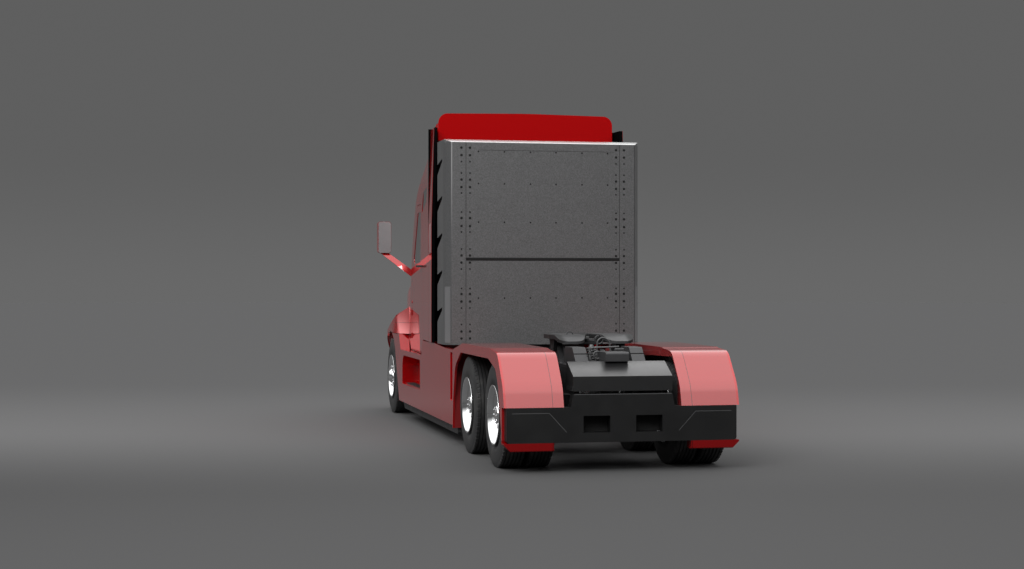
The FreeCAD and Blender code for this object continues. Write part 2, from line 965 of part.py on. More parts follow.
def sleeper_window_outline():
    length = sleeper_window_front_station - sleeper_window_back_station
    height = sleeper_window_high - sleeper_window_low
    return [
        (sleeper_window_back_station + 0.06 * length, sleeper_window_low + 0.4 * height),
        (sleeper_window_back_station, sleeper_window_high),
        (sleeper_window_front_station - 0.26 * length, sleeper_window_high - 0.12 * height),
        (sleeper_window_front_station, sleeper_window_low),
    ]


def screen_outline():
    return [
        (-screen_half_width, screen_low, screen_corner),
        (screen_half_width, screen_low, screen_corner),
        (screen_half_width - screen_corner, screen_high, screen_corner),
        (screen_corner - screen_half_width, screen_high, screen_corner),
    ]


def side_cut(outline, by=0.0):
    """Tool that cuts both side walls with an outline seen from the side."""
    start = body_half_width * 0.7
    return joined(*both_sides(side_prism(grown(outline, by), start, 2 * body_half_width)))


# Door hinges: a knuckle of the door hangs on the pin of a knuckle of the pillar
hinge_heights = (1140.0, 1460.0)
hinge_length = 36.0
hinge_radius = 14.0
hinge_pin_radius = 6.0
hinge_leaf = 24.0


def hinge_barrel(radius, z0, z1):
    return bar_z(radius, side_half_width(door_front_station), door_front_station, z0, z1)


def hinge_leaf_block(s0, s1, z0, z1):
    x = side_half_width(door_front_station)
    return block(x - hinge_leaf, x, s0, s1, z0, z1)


def door_knuckle(z):
    leaf = hinge_leaf_block(door_front_station - hinge_leaf, door_front_station, z, z + hinge_length)
    return joined(hinge_barrel(hinge_radius, z, z + hinge_length), leaf)


def pillar_knuckle(z):
    low = z + hinge_length + running_gap / 3
    high = low + hinge_length
    leaf = hinge_leaf_block(door_front_station, door_front_station + 2 * hinge_leaf, low, high)
    pin = hinge_barrel(hinge_pin_radius, z + running_gap, high)
    return joined(hinge_barrel(hinge_radius, low, high), leaf, pin)


def hinge_room(z):
    """Room round the barrels that door and pillar leave for each other."""
    return hinge_barrel(hinge_radius + running_gap, z - running_gap, z + 2 * hinge_length + 2 * running_gap)


def cab_shell():
    whole = cab_form(0.0)
    room = cab_form(wall)
    outer = whole.common(cab_slab(cab_back_station, overall_length, cab_bottom, roof_split - seat_gap))
    cabin = room.common(cab_slab(cab_back_station + wall, overall_length, cab_floor, roof_split + overrun))
    under = room.common(
        cab_slab(cab_step_station + wall, overall_length, cab_bottom - overrun, sleeper_bottom)
    )
    behind = cab_slab(cab_back_station - overrun, cab_step_station, cab_bottom - overrun, sleeper_bottom)
    tunnel = block(
        -rail_outer - panel_gap,
        rail_outer + panel_gap,
        cab_step_station,
        overall_length,
        cab_bottom - overrun,
        rail_top + panel_gap,
    )
    screen = section_prism(screen_outline(), screen_reach_station, cab_nose_station + overrun)
    doors = side_cut(door_outline(), panel_gap)
    windows = side_cut(sleeper_window_outline())
    rooms = [room for z in hinge_heights for room in both_sides(hinge_room(z))]
    shell = less(outer, cabin, under, behind, tunnel, screen, doors, windows, *rooms)
    knuckles = [knuckle for z in hinge_heights for knuckle in both_sides(pillar_knuckle(z))]
    return joined(shell, *knuckles)


@lru_cache
def wall_layer(depth, thickness):
    """Thin layer of the cab form, used for glass."""
    return less(cab_form(depth), cab_form(depth + thickness))


def windscreen():
    tool = section_prism(grown(screen_outline(), -seat_gap), screen_reach_station, cab_nose_station)
    return wall_layer(glass_depth, glass_thickness).common(tool)


def one_side(shape):
    """The part of a shape on the left of the vehicle."""
    return shape.common(block(0.0, 2 * body_half_width, 0.0, overall_length, 0.0, roof_top))


def sleeper_windows():
    layer = wall_layer(glass_depth, glass_thickness)
    pane = one_side(layer.common(side_cut(sleeper_window_outline(), -seat_gap)))
    return both_sides(pane)


handle_back_station = 5510.0
handle_length = 270.0
handle_z = 2130.0
handle_reach = 50.0
handle_bar = 26.0


def door():
    layer = less(cab_form(0.0), cab_form(wall)).common(side_cut(door_outline()))
    panel = one_side(less(layer, side_cut(door_window_outline())))
    panel = less(panel, *[hinge_room(z) for z in hinge_heights])
    bores = [
        hinge_barrel(hinge_pin_radius + bore_clearance, z - running_gap, z + 2 * hinge_length)
        for z in hinge_heights
    ]
    return less(joined(panel, *[door_knuckle(z) for z in hinge_heights]), *bores)


def door_glass():
    layer = wall_layer(glass_depth, glass_thickness)
    return one_side(layer.common(side_cut(door_window_outline(), -seat_gap)))


def door_handle():
    """Pull bar on two feet, standing off the door skin."""
    skin = side_half_width(handle_back_station + handle_length)
    face = side_half_width(handle_back_station) + handle_reach
    corners = [
        (handle_back_station, skin),
        (handle_back_station, face, handle_bar / 2),
        (handle_back_station + handle_length, face, handle_bar / 2),
        (handle_back_station + handle_length, skin - handle_bar),
        (handle_back_station + handle_length - handle_bar, skin - handle_bar),
        (handle_back_station + handle_length - handle_bar, face - handle_bar),
        (handle_back_station + handle_bar, face - handle_bar),
        (handle_back_station + handle_bar, skin),
    ]
    bar = plan_prism(corners, handle_z - handle_bar / 2, handle_z + handle_bar / 2)
    return less(bar, cab_form(-seat_gap))


# Roof cap: shoulders, crown and the lip that reaches back over the module
roof_shoulder_low = 3790.0
roof_shoulder_high = 3860.0
roof_crown_half_width = 1130.0
roof_edge_top = 4042.0
roof_edge_radius = 120.0
roof_crown_radius = 9000.0
roof_lip_bottom = 3700.0
roof_wall = 50.0


def crown_outline(low, half_width, inset=0.0):
    crown = roof_crown_half_width - inset
    edge = [
        (half_width, low),
        (half_width, roof_shoulder_low - inset),
        (crown, roof_shoulder_high - inset, roof_edge_radius / 2),
        (crown, roof_edge_top - inset, roof_edge_radius),
    ]
    top = [(0.0, roof_top - inset, roof_crown_radius)]
    return edge + top + [(-x, *rest) for x, *rest in reversed(edge)]


def lip_outline():
    half = roof_crown_half_width
    return [
        (half, roof_lip_bottom),
        (half, roof_edge_top, roof_edge_radius),
        (0.0, roof_top, roof_crown_radius),
        (-half, roof_edge_top, roof_edge_radius),
        (-half, roof_lip_bottom),
    ]


def roof_cap():
    high = roof_top + overrun
    wide = 2 * body_half_width
    outer_crown = section_prism(crown_outline(roof_split, wide), cab_back_station, cab_nose_station)
    inner_crown = section_prism(
        crown_outline(roof_split - overrun, wide, roof_wall), cab_back_station + wall, cab_nose_station
    )
    outer = cab_form(0.0).common(cab_slab(cab_back_station, overall_length, roof_split, high))
    outer = outer.common(outer_crown)
    inner = cab_form(roof_wall).common(inner_crown)
    lip = section_prism(lip_outline(), roof_back_station, cab_back_station + wall / 2)
    return less(joined(outer, lip), inner)


# Side extenders: the cab's side walls carried back to the module
extender_wall = 45.0


def side_extenders():
    slab = cab_slab(extender_back_station, cab_back_station - seat_gap, sleeper_bottom, extender_top)
    plate = one_side(less(cab_form(0.0), cab_form(extender_wall)).common(slab))
    return both_sides(plate)


# Module behind the cab: chamfered box with slanted slots down each side
module_back_half_width = 1138.0
module_chamfer_station = 3675.0
module_top = 3640.0
module_back_top = 3600.0
slot_count = 5
slot_first_z = 1615.0
slot_pitch = 450.0
slot_back_station = 3800.0
slot_mouth = 140.0
slot_neck = 36.0
slot_fall = 60.0
slot_depth = 260.0


def module_box():
    half = body_half_width
    corners = [
        (module_back_station, module_back_half_width),
        (module_chamfer_station, half),
        (module_front_station, half),
        (module_front_station, -half),
        (module_chamfer_station, -half),
        (module_back_station, -module_back_half_width),
    ]
    box = plan_prism(corners, module_bottom, module_top)
    wedge = side_prism(
        [
            (module_back_station - overrun, module_back_top - overrun),
            (module_back_station, module_back_top),
            (module_chamfer_station, module_top),
            (module_chamfer_station, module_top + overrun),
            (module_back_station - overrun, module_top + overrun),
        ],
        -2 * half,
        2 * half,
    )
    slots = []
    for i in range(slot_count):
        z = slot_first_z + i * slot_pitch
        front = module_front_station + overrun
        outline = [
            (slot_back_station, z - slot_neck),
            (slot_back_station, z),
            (front, z - slot_fall),
            (front, z - slot_fall - slot_mouth),
        ]
        slots += both_sides(side_prism(outline, half - slot_depth, half + overrun))
    return less(box, wedge, *slots)


# Hood with front fenders; it tips forward about the pins under its lower front edge
hood_wall = 30.0
hood_top_radius = 200.0
# Each section: station share between the cab side and the nose, half width and height shares
hood_section_shares = [
    (0.0, 0.868, 1.0),
    (0.28, 0.842, 0.965),
    (0.58, 0.768, 0.885),
    (0.84, 0.661, 0.765),
    (1.0, 0.545, 0.615),
]
hood_root_station = 7450.0
hood_root_top = 1985.0
fender_top_inner = 1570.0
fender_top_outer = 1450.0
fender_inner_x = 1060.0
fender_top_inner_station = 7556.0
fender_top_outer_station = 7820.0
fender_crown_inner = 1470.0
fender_crown_outer = 1310.0
fender_brow_station = 8800.0
fender_brow_inner = 1370.0
fender_brow_outer = 1190.0
fender_front_station = 9300.0
fender_front_z = 1100.0
fender_depth = 380.0
fender_corner = 180.0
plan_corner_station = 8950.0
plan_nose_half_width = 720.0
lamp_outline_x = (745.0, 1120.0)
lamp_outline_z = (800.0, 1015.0)
lamp_rise = 60.0
grille_half_width = 520.0
grille_low = 660.0
grille_high = 1165.0
grille_corner = 70.0
grille_bar_count = 6
grille_bar = 34.0
grille_depth = 26.0


@lru_cache
def hood_form(inset):
    """Closed form of the hood with both fenders, drawn in by a distance."""
    low = hood_low - (overrun if inset else 0.0)
    length = hood_nose_station - hood_root_station - inset
    wires = []
    for station_share, width_share, height_share in hood_section_shares:
        half = body_half_width * width_share - inset
        top = hood_root_top * height_share - inset
        corners = [
            (-half, low),
            (-half, top, hood_top_radius),
            (half, top, hood_top_radius),
            (half, low),
        ]
        station = hood_root_station + station_share * length
        wires.append(rounded_wire(lambda x, z: section_point(x, z, station), corners))
    core = Part.makeLoft(wires, True, False)
    foot = fender_foot_station + inset
    tops = (
        (fender_top_inner_station, fender_top_inner, fender_crown_inner, fender_brow_inner),
        (fender_top_outer_station, fender_top_outer, fender_crown_outer, fender_brow_outer),
    )
    inner, outer = [
        [
            (foot, low),
            (foot, ledge_z),
            (start + inset, top - inset),
            (front_axle_station, crown - inset),
            (fender_brow_station, brow - inset),
            (fender_front_station - inset, fender_front_z),
            (hood_nose_station - inset, low),
        ]
        for start, top, crown, brow in tops
    ]
    edge = body_half_width - inset
    inner_wire = rounded_wire(lambda s, z: side_point(s, z, fender_inner_x), inner)
    outer_wire = rounded_wire(lambda s, z: side_point(s, z, edge), outer)
    skirted = Part.makeLoft([inner_wire, outer_wire], True, True)
    root = side_prism(inner, edge - fender_depth, fender_inner_x)
    sides = both_sides(joined(skirted, root))
    plan = plan_prism(
        [
            (hood_root_station - 2 * overrun, -edge),
            (plan_corner_station, -edge, fender_corner * 3),
            (hood_nose_station - inset, -plan_nose_half_width, fender_corner),
            (hood_nose_station - inset, plan_nose_half_width, fender_corner),
            (plan_corner_station, edge, fender_corner * 3),
            (hood_root_station - 2 * overrun, edge),
        ],
        low,
        hood_root_top + overrun,
    )
    return joined(core, *sides).common(plan)


def lamp_outline():
    x0, x1 = lamp_outline_x
    z0, z1 = lamp_outline_z
    return [(x0, z0), (x1, z0 + lamp_rise), (x1, z1 + lamp_rise), (x0, z1)]


def grille_outline():
    half = grille_half_width
    return [
        (-half + grille_corner, grille_low),
        (half - grille_corner, grille_low),
        (half, grille_high, grille_corner / 2),
        (-half, grille_high, grille_corner / 2),
    ]


def front_cut(outline, by=0.0):
    """Tool that cuts the front of the hood with an outline seen from ahead."""
    return section_prism(grown(outline, by), plan_corner_station, overall_length)


@lru_cache
def hood_layer():
    return less(hood_form(0.0), hood_form(hood_wall))


def hood_trim():
    """What is cut from the hood: wheel arches, the fixed fender feet and the cab with its gap."""
    feet = block(
        -2 * body_half_width,
        2 * body_half_width,
        hood_root_station - 4 * overrun,
        front_axle_station,
        hood_low - 2 * overrun,
        fender_seam_z,
    )
    return [arch_cut(), feet, cab_form(-panel_gap)]


def hood_lug():
    """Ear on the back of the hood's front wall, turning on the pin of the pivot post."""
    x1 = hood_lug_x + hood_lug_width
    ear = bar_x(hood_lug_radius, hood_lug_x, x1, hood_nose_station, hood_pivot_z)
    root = block(
        hood_lug_x,
        x1,
        hood_nose_station - hood_wall,
        hood_nose_station,
        hood_pivot_z,
        hood_low + hood_wall,
    )
    hole = bar_x(hood_pin_radius + bore_clearance, 0.0, body_half_width, hood_nose_station, hood_pivot_z)
    return less(joined(ear, root), hole)


def hood_shell():
    lamps = both_sides(front_cut(lamp_outline(), seat_gap))
    opening = front_cut(grille_outline(), seat_gap)
    shell = less(hood_layer(), *hood_trim(), *lamps, opening)
    return joined(shell, *both_sides(hood_lug()))


def headlamps():
    lamp = hood_layer().common(front_cut(lamp_outline()))
    return both_sides(lamp)


def grille():
    """Surround with level bars, standing in the hood's front opening."""
    back = hood_nose_station - grille_depth
    plate = section_prism(grille_outline(), back, hood_nose_station)
    window = section_prism(grown(grille_outline(), -grille_bar), back, hood_nose_station)
    pitch = (grille_high - grille_low - grille_bar) / (grille_bar_count + 1)
    half, thick = grille_half_width, grille_bar / 2
    bars = []
    for i in range(grille_bar_count):
        low = grille_low + grille_bar / 4 + (i + 1) * pitch
        bars.append(block(-half, half, back, hood_nose_station, low, low + thick))
    return less(plate, less(window, *bars))


# Front bumper
front_bumper_low = 250.0
front_bumper_high = 590.0
front_bumper_end_station = 9105.0
front_bumper_flat = 820.0
front_bumper_wall = 55.0
front_bumper_back_station = overall_length - front_bumper_wall
intake_half_width = 330.0
intake_low = 345.0
intake_high = 455.0
intake_slant = 40.0


def bumper_plan(inset, back):
    half = body_half_width - inset
    nose = overall_length - inset
    corner = overall_length - front_bumper_wall * 3
    return [
        (back, -half),
        (corner, -half, fender_corner),
        (nose, -front_bumper_flat, fender_corner),
        (nose, front_bumper_flat, fender_corner),
        (corner, half, fender_corner),
        (back, half),
    ]


def front_bumper():
    outer = plan_prism(bumper_plan(0.0, front_bumper_end_station), front_bumper_low, front_bumper_high)
    inner = plan_prism(
        bumper_plan(front_bumper_wall, front_bumper_end_station - overrun),
        front_bumper_low - overrun,
        front_bumper_high + overrun,
    )
    half = intake_half_width
    intake = section_prism(
        [
            (-half + intake_slant, intake_low),
            (half - intake_slant, intake_low),
            (half, intake_high),
            (-half, intake_high),
        ],
        front_bumper_back_station - overrun,
        overall_length + overrun,
    )
    return less(outer, inner, intake)


# Rear fenders: troughs over both axles with a deep outer side plate
fender_outer = 1228.0
fender_skin = 25.0
fender_inner_skin = 20.0
fender_top = 1230.0
fender_front_edge_station = 2977.0
fender_foot_low = 222.0
fender_inner_low = 1095.0
fender_foot_x = 716.0
bumper_low = 306.0
bumper_wing_top = 660.0
fender_back_shares = [(0.020, 0.70), (0.114, 0.925)]
fender_flat_share = 0.22
fender_fall_share = 0.776
opening_shares = [
    (0.047, 0.34),
    (0.090, 0.63),
    (0.150, 0.813),
    (0.268, 0.911),
    (0.820, 0.911),
    (0.940, 0.772),
    (0.984, 0.447),
]
opening_radius = 420.0
fender_bend_radius = 280.0
fender_chamfer = 70.0


def rear_fender():
    length, top = fender_front_edge_station, fender_top
    wall_face = bumper_thickness + seat_gap
    wall_back = wall_face + fender_skin
    back = [(s * length, z * top, fender_bend_radius) for s, z in fender_back_shares]
    crown = [
        (fender_flat_share * length, top, 3 * fender_bend_radius),
        (fender_fall_share * length, top, 3 * fender_bend_radius),
    ]
    skin_top = [(0.0, bumper_wing_top + seat_gap)] + back + crown
    outer = (
        [
            (0.0, fender_foot_low, fender_skin / 2),
            (0.0, bumper_low - seat_gap),
            (wall_face, bumper_low - seat_gap),
            (wall_face, bumper_wing_top + seat_gap),
        ]
        + skin_top
        + [(length, skirt_back_top), (length, fender_foot_low)]
    )
    trough = grown(
        skin_top + [(length, skirt_back_top), (length, 0.0), (0.0, 0.0)],
        -fender_skin,
    )
    opening = [(share * length, z * top, opening_radius / 2) for share, z in opening_shares]
    opening = (
        [(wall_back, 0.0), (wall_back, bumper_low)]
        + opening
        + [(length - fender_skin, bumper_low), (length - fender_skin, 0.0)]
    )
    shell = side_prism(outer, fender_inner, fender_outer)
    hollow = side_prism(trough, fender_inner + fender_inner_skin, fender_outer - fender_skin)
    hollow = less(hollow, block(0.0, fender_outer, 0.0, wall_back, 0.0, bumper_wing_top))
    arch = side_prism(opening, fender_outer - 2 * fender_skin, fender_outer + overrun)
    reach = (fender_inner - overrun, fender_inner + 2 * fender_inner_skin)
    inside = block(*reach, wall_back, length - fender_skin, 0.0, fender_inner_low)
    inside = inside.common(side_prism(trough, *reach))
    inboard = block(fender_inner - overrun, fender_foot_x, -overrun, wall_back, 0.0, bumper_wing_top)
    corner = section_prism(
        [
            (fender_outer - fender_chamfer - overrun, fender_foot_low - overrun),
            (fender_outer + overrun, fender_foot_low + fender_chamfer + overrun),
            (fender_outer + overrun, fender_foot_low - overrun),
        ],
        -overrun,
        length / 4,
    )
    return less(shell, hollow, arch, inside, inboard, corner)


# Rear bumper and tail cover
bumper_half_width = 1200.0
bumper_centre_half_width = 514.0
bumper_centre_top = 790.0
bumper_hole_inner = 135.0
bumper_hole_outer = 412.0
bumper_hole_low = 402.0
bumper_hole_high = 572.0
bumper_corner = 30.0
cover_half_width = 517.0
cover_low = 819.0
cover_edge = 967.0
cover_top = 1105.0
cover_slope_station = 270.0


def rear_bumper():
    half, centre = bumper_half_width, bumper_centre_half_width
    corners = [
        (-half, bumper_low, bumper_corner),
        (half, bumper_low, bumper_corner),
        (half, bumper_wing_top, bumper_corner / 3),
        (centre + bumper_corner, bumper_wing_top),
        (centre, bumper_centre_top),
        (-centre, bumper_centre_top),
        (-centre - bumper_corner, bumper_wing_top),
        (-half, bumper_wing_top, bumper_corner / 3),
    ]
    bar = section_prism(corners, 0.0, bumper_thickness)
    holes = both_sides(
        block(
            bumper_hole_inner,
            bumper_hole_outer,
            -overrun,
            bumper_thickness + overrun,
            bumper_hole_low,
            bumper_hole_high,
        )
    )
    return less(bar, *holes)


def tail_cover():
    corners = [
        (0.0, cover_low),
        (0.0, cover_edge),
        (cover_slope_station, cover_top),
        (rail_tail_station - seat_gap, cover_top),
        (rail_tail_station - seat_gap, cover_low),
    ]
    return side_prism(corners, -cover_half_width, cover_half_width)


# Fifth wheel
plate_top = 1350.0
plate_thickness = 45.0
pivot_station = 1450.0
pivot_z = 1215.0
pivot_radius = 24.0
throat_radius = 25.6
plate_front_station = 1840.0
plate_tail_station = 1020.0
plate_half_width = 460.0
horn_inner = 150.0
horn_outer = 400.0
horn_bend = 110.0
horn_ramp_station = 1190.0
horn_drop = 65.0
horn_thickness = 28.0
pedestal_inner = 296.0
pedestal_width = 62.0
rib_width = 34.0
base_plate = 25.0
pedestal_half_foot = 210.0
pedestal_half_head = 62.0
ramp_inner = 235.0
ramp_outer = 375.0
ramp_groove_station = 572.0
ramp_groove_z = 1165.0
ramp_groove = 10.0
ramp_top = 1235.0
ramp_start_station = 420.0
ramp_crest_station = 620.0
ramp_end_station = 940.0
deck_end_station = 1010.0
deck_start_station = 360.0
latch_half_width = 122.0
latch_start_station = 220.0
latch_end_station = 545.0
latch_top = 1200.0


def fifth_wheel_base():
    low = rail_top + seat_gap
    half = rail_outer - seat_gap
    deck = block(-half, half, deck_start_station, deck_end_station, low, low + base_plate)
    ramp = side_prism(
        [
            (ramp_start_station, low),
            (ramp_crest_station, ramp_top, base_plate),
            (ramp_end_station, ramp_top, base_plate),
            (deck_end_station, low),
        ],
        ramp_inner,
        ramp_outer,
    )
    groove = block(
        ramp_inner,
        ramp_outer,
        ramp_start_station,
        ramp_groove_station,
        ramp_groove_z,
        ramp_groove_z + ramp_groove,
    )
    ramp = less(ramp, groove)
    latch = side_prism(
        [
            (latch_start_station, cover_top + seat_gap),
            (latch_start_station, latch_top, base_plate),
            (latch_end_station, latch_top, base_plate),
            (latch_end_station, low),
            (deck_start_station, low),
            (deck_start_station, cover_top + seat_gap),
        ],
        -latch_half_width,
        latch_half_width,
    )
    runner_inner, runner_start = rail_outer - rail_flange, deck_end_station - overrun
    runners = both_sides(
        block(runner_inner, half, runner_start, pivot_station, low, low + base_plate)
    )
    foot = block(
        -half,
        half,
        pivot_station - pedestal_half_foot,
        pivot_station + pedestal_half_foot,
        low,
        low + base_plate,
    )
    pedestal = side_prism(
        [
            (pivot_station - pedestal_half_foot, low),
            (pivot_station - pedestal_half_head, pivot_z + 2 * pivot_radius, base_plate),
            (pivot_station + pedestal_half_head, pivot_z + 2 * pivot_radius, base_plate),
            (pivot_station + pedestal_half_foot, low),
        ],
        pedestal_inner,
        pedestal_inner + pedestal_width,
    )
    pin_end = pedestal_inner + pedestal_width + running_gap + rib_width
    pin = bar_x(pivot_radius, pedestal_inner + pedestal_width / 2, pin_end, pivot_station, pivot_z)
    posts = both_sides(joined(pedestal, pin))
    return joined(deck, *both_sides(ramp), latch, *runners, foot, *posts)


def fifth_wheel_plate():
    """Slotted coupling plate whose horns slope down as ramps, and the two ribs on the pivot pins."""
    half = [
        (plate_front_station, plate_half_width * 0.55, plate_half_width / 3),
        (plate_front_station - plate_half_width * 0.5, plate_half_width, plate_half_width / 4),
        (plate_tail_station + plate_half_width * 0.65, plate_half_width, plate_half_width / 4),
        (plate_tail_station, horn_outer, horn_bend),
        (plate_tail_station, horn_inner, horn_bend),
        (pivot_station - 3 * throat_radius, throat_radius, throat_radius),
        (pivot_station, throat_radius),
    ]
    outline = half + [(s, -x, *radius) for s, x, *radius in reversed(half)]
    low = plate_top - plate_thickness
    profile = [
        (plate_front_station, low),
        (plate_front_station, plate_top),
        (horn_ramp_station, plate_top),
        (plate_tail_station, plate_top - horn_drop),
        (plate_tail_station, plate_top - horn_drop - horn_thickness),
        (horn_ramp_station, low),
    ]
    plate = side_prism(profile, -plate_half_width, plate_half_width)
    plate = plate.common(plan_prism(outline, pivot_z, plate_top))
    throat = bar_z(throat_radius, 0.0, pivot_station, low - overrun, plate_top + overrun)
    x0 = pedestal_inner + pedestal_width + running_gap
    rib = side_prism(
        [
            (pivot_station - 2 * pedestal_half_head, low + seat_gap),
            (pivot_station + 2 * pedestal_half_head, low + seat_gap),
            (pivot_station + pedestal_half_head, pivot_z - 2 * pivot_radius, pivot_radius),
            (pivot_station - pedestal_half_head, pivot_z - 2 * pivot_radius, pivot_radius),
        ],
        x0,
        x0 + rib_width,
    )
    bore = bar_x(pivot_radius + bore_clearance, -2 * x0, 2 * x0, pivot_station, pivot_z)
    return less(joined(plate, *both_sides(rib)), throat, bore)


# Mirrors, each on one tapered bracket from the door pillar
mirror_inner = 1333.0
mirror_outer = 1518.0
mirror_low = 2335.0
mirror_high = 2780.0
mirror_back_station = 7450.0
mirror_depth = 130.0
mirror_corner = 35.0
mirror_glass_thickness = 8.0
mirror_rim = 4.0
bracket_root_station = 7260.0
bracket_root_low = 1985.0
bracket_root_high = 2085.0
bracket_depth = 70.0


def mirror_outline():
    return [
        (mirror_inner, mirror_low, mirror_corner),
        (mirror_outer, mirror_low, mirror_corner),
        (mirror_outer, mirror_high, mirror_corner),
        (mirror_inner, mirror_high, mirror_corner),
    ]


def mirror_bracket():
    """Tapered bar that rises from the cab's side to the mirror's lower edge."""
    root_x = side_half_width(bracket_root_station) - wall / 2
    s0, s1 = bracket_root_station, bracket_root_station + bracket_depth
    tip_start = mirror_back_station + mirror_depth / 2 - bracket_depth / 2
    tip_end, tip_z = tip_start + bracket_depth, mirror_low + mirror_rim
    x0, x1 = mirror_inner + mirror_corner, mirror_outer - mirror_corner
    low, high = bracket_root_low, bracket_root_high
    root = [side_point(s, z, root_x) for s, z in ((s0, low), (s1, low), (s1, high), (s0, high))]
    corners = ((tip_start, x1), (tip_end, x1), (tip_end, x0), (tip_start, x0))
    tip = [plan_point(s, x, tip_z) for s, x in corners]
    wires = [Part.makePolygon(corners + corners[:1]) for corners in (root, tip)]
    return Part.makeLoft(wires, True, True)


def mirrors():
    housing = section_prism(mirror_outline(), mirror_back_station, mirror_back_station + mirror_depth)
    return both_sides(less(joined(housing, mirror_bracket()), cab_form(-seat_gap)))


def mirror_glasses():
    outline = grown(mirror_outline(), -mirror_rim)
    face = mirror_back_station - seat_gap
    return both_sides(section_prism(outline, face - mirror_glass_thickness, face))


# Inside the cab
dash_back_station = 7100.0
dash_top = 2040.0
dash_low = 1500.0
dash_front_station = 7700.0
wheel_x = 520.0
wheel_station = 6960.0
wheel_z = 1990.0
wheel_ring_radius = 225.0
wheel_ring_width = 30.0
column_radius = 32.0
seat_width = 520.0
seat_station = 6060.0
seat_length = 520.0
seat_cushion_z = 1700.0
seat_cushion_depth = 120.0
seat_back_height = 720.0
seat_back_thickness = 120.0
seat_back_lean = 130.0
bunk_length = 760.0
bunk_top = 1820.0
trim_gap = 12.0


def dashboard():
    """Fascia across the cab with the steering column and wheel on the driver's side."""
    room = cab_form(wall + trim_gap)
    profile = [
        (dash_front_station, dash_low),
        (dash_front_station, dash_top - 2 * trim_gap),
        (dash_back_station + seat_back_lean, dash_top, mirror_corner),
        (dash_back_station, dash_top - seat_back_lean, mirror_corner),
        (dash_back_station + seat_back_lean, dash_low, mirror_corner),
    ]
    fascia = room.common(side_prism(profile, -body_half_width, body_half_width))
    leg = side_prism(
        [
            (dash_front_station, cab_floor + seat_gap),
            (dash_front_station, dash_low + overrun),
            (dash_front_station - 2 * seat_back_lean, dash_low + overrun),
            (dash_front_station - 2 * seat_back_lean, cab_floor + seat_gap),
        ],
        -seat_width / 2,
        seat_width / 2,
    )
    fascia = joined(fascia, leg.common(room))
    axis = Vector(0, -wheel_ring_radius, -wheel_ring_radius * 0.8)
    axis.normalize()
    centre = side_point(wheel_station, wheel_z, wheel_x)
    column = rod(column_radius, centre, centre + axis * (wheel_ring_radius * 1.3))
    ring = Part.makeCylinder(wheel_ring_radius, wheel_ring_width, centre, axis)
    hole = Part.makeCylinder(wheel_ring_radius - wheel_ring_width, wheel_ring_width, centre, axis)
    spoke = Part.makeCylinder(column_radius * 1.6, wheel_ring_width, centre, axis)
    bars = [
        block(
            wheel_x - wheel_ring_radius + wheel_ring_width / 2,
            wheel_x + wheel_ring_radius - wheel_ring_width / 2,
            wheel_station - wheel_ring_width / 2,
            wheel_station + wheel_ring_width / 2,
            wheel_z - wheel_ring_width / 4,
            wheel_z + wheel_ring_width / 4,
        )
    ]
    return joined(fascia, column, less(ring, hole), spoke, *bars)


def seat(x):
    """Seat on a pedestal, side outline carried across its width."""
    front = seat_station + seat_length
    head = seat_cushion_z + seat_back_height
    profile = [
        (seat_station + seat_back_thickness, cab_floor + seat_gap),
        (seat_station + seat_back_thickness, seat_cushion_z - seat_cushion_depth),
        (seat_station, seat_cushion_z - seat_cushion_depth, mirror_corner),
        (seat_station - seat_back_lean, head, mirror_corner),
        (seat_station - seat_back_lean + seat_back_thickness, head, mirror_corner),
        (seat_station + seat_back_thickness, seat_cushion_z, mirror_corner),
        (front, seat_cushion_z, mirror_corner),
        (front, seat_cushion_z - seat_cushion_depth, mirror_corner),
        (front - seat_back_thickness, seat_cushion_z - seat_cushion_depth),
        (front - seat_back_thickness, cab_floor + seat_gap),
    ]
    return side_prism(profile, x - seat_width / 2, x + seat_width / 2)


def cab_seats():
    bunk = block(
        -body_half_width + 2 * wall + trim_gap,
        body_half_width - 2 * wall - trim_gap,
        cab_back_station + wall + seat_gap,
        cab_back_station + wall + bunk_length,
        cab_floor + seat_gap,
        bunk_top,
    )
    return [seat(wheel_x), seat(-wheel_x), bunk]


def write(name, shapes):
    solids = shapes if isinstance(shapes, list) else [shapes]
    shape = solids[0] if len(solids) == 1 else Part.makeCompound(solids)
    shape.exportStep(os.path.join("parts", name + ".step"))


def write_pair(name, shapes):
    """A piece of the left side and its mirror image on the right."""
    solids = shapes if isinstance(shapes, list) else [shapes]
    write(name + "_left", solids)
    write(name + "_right", [other_side(solid) for solid in solids])


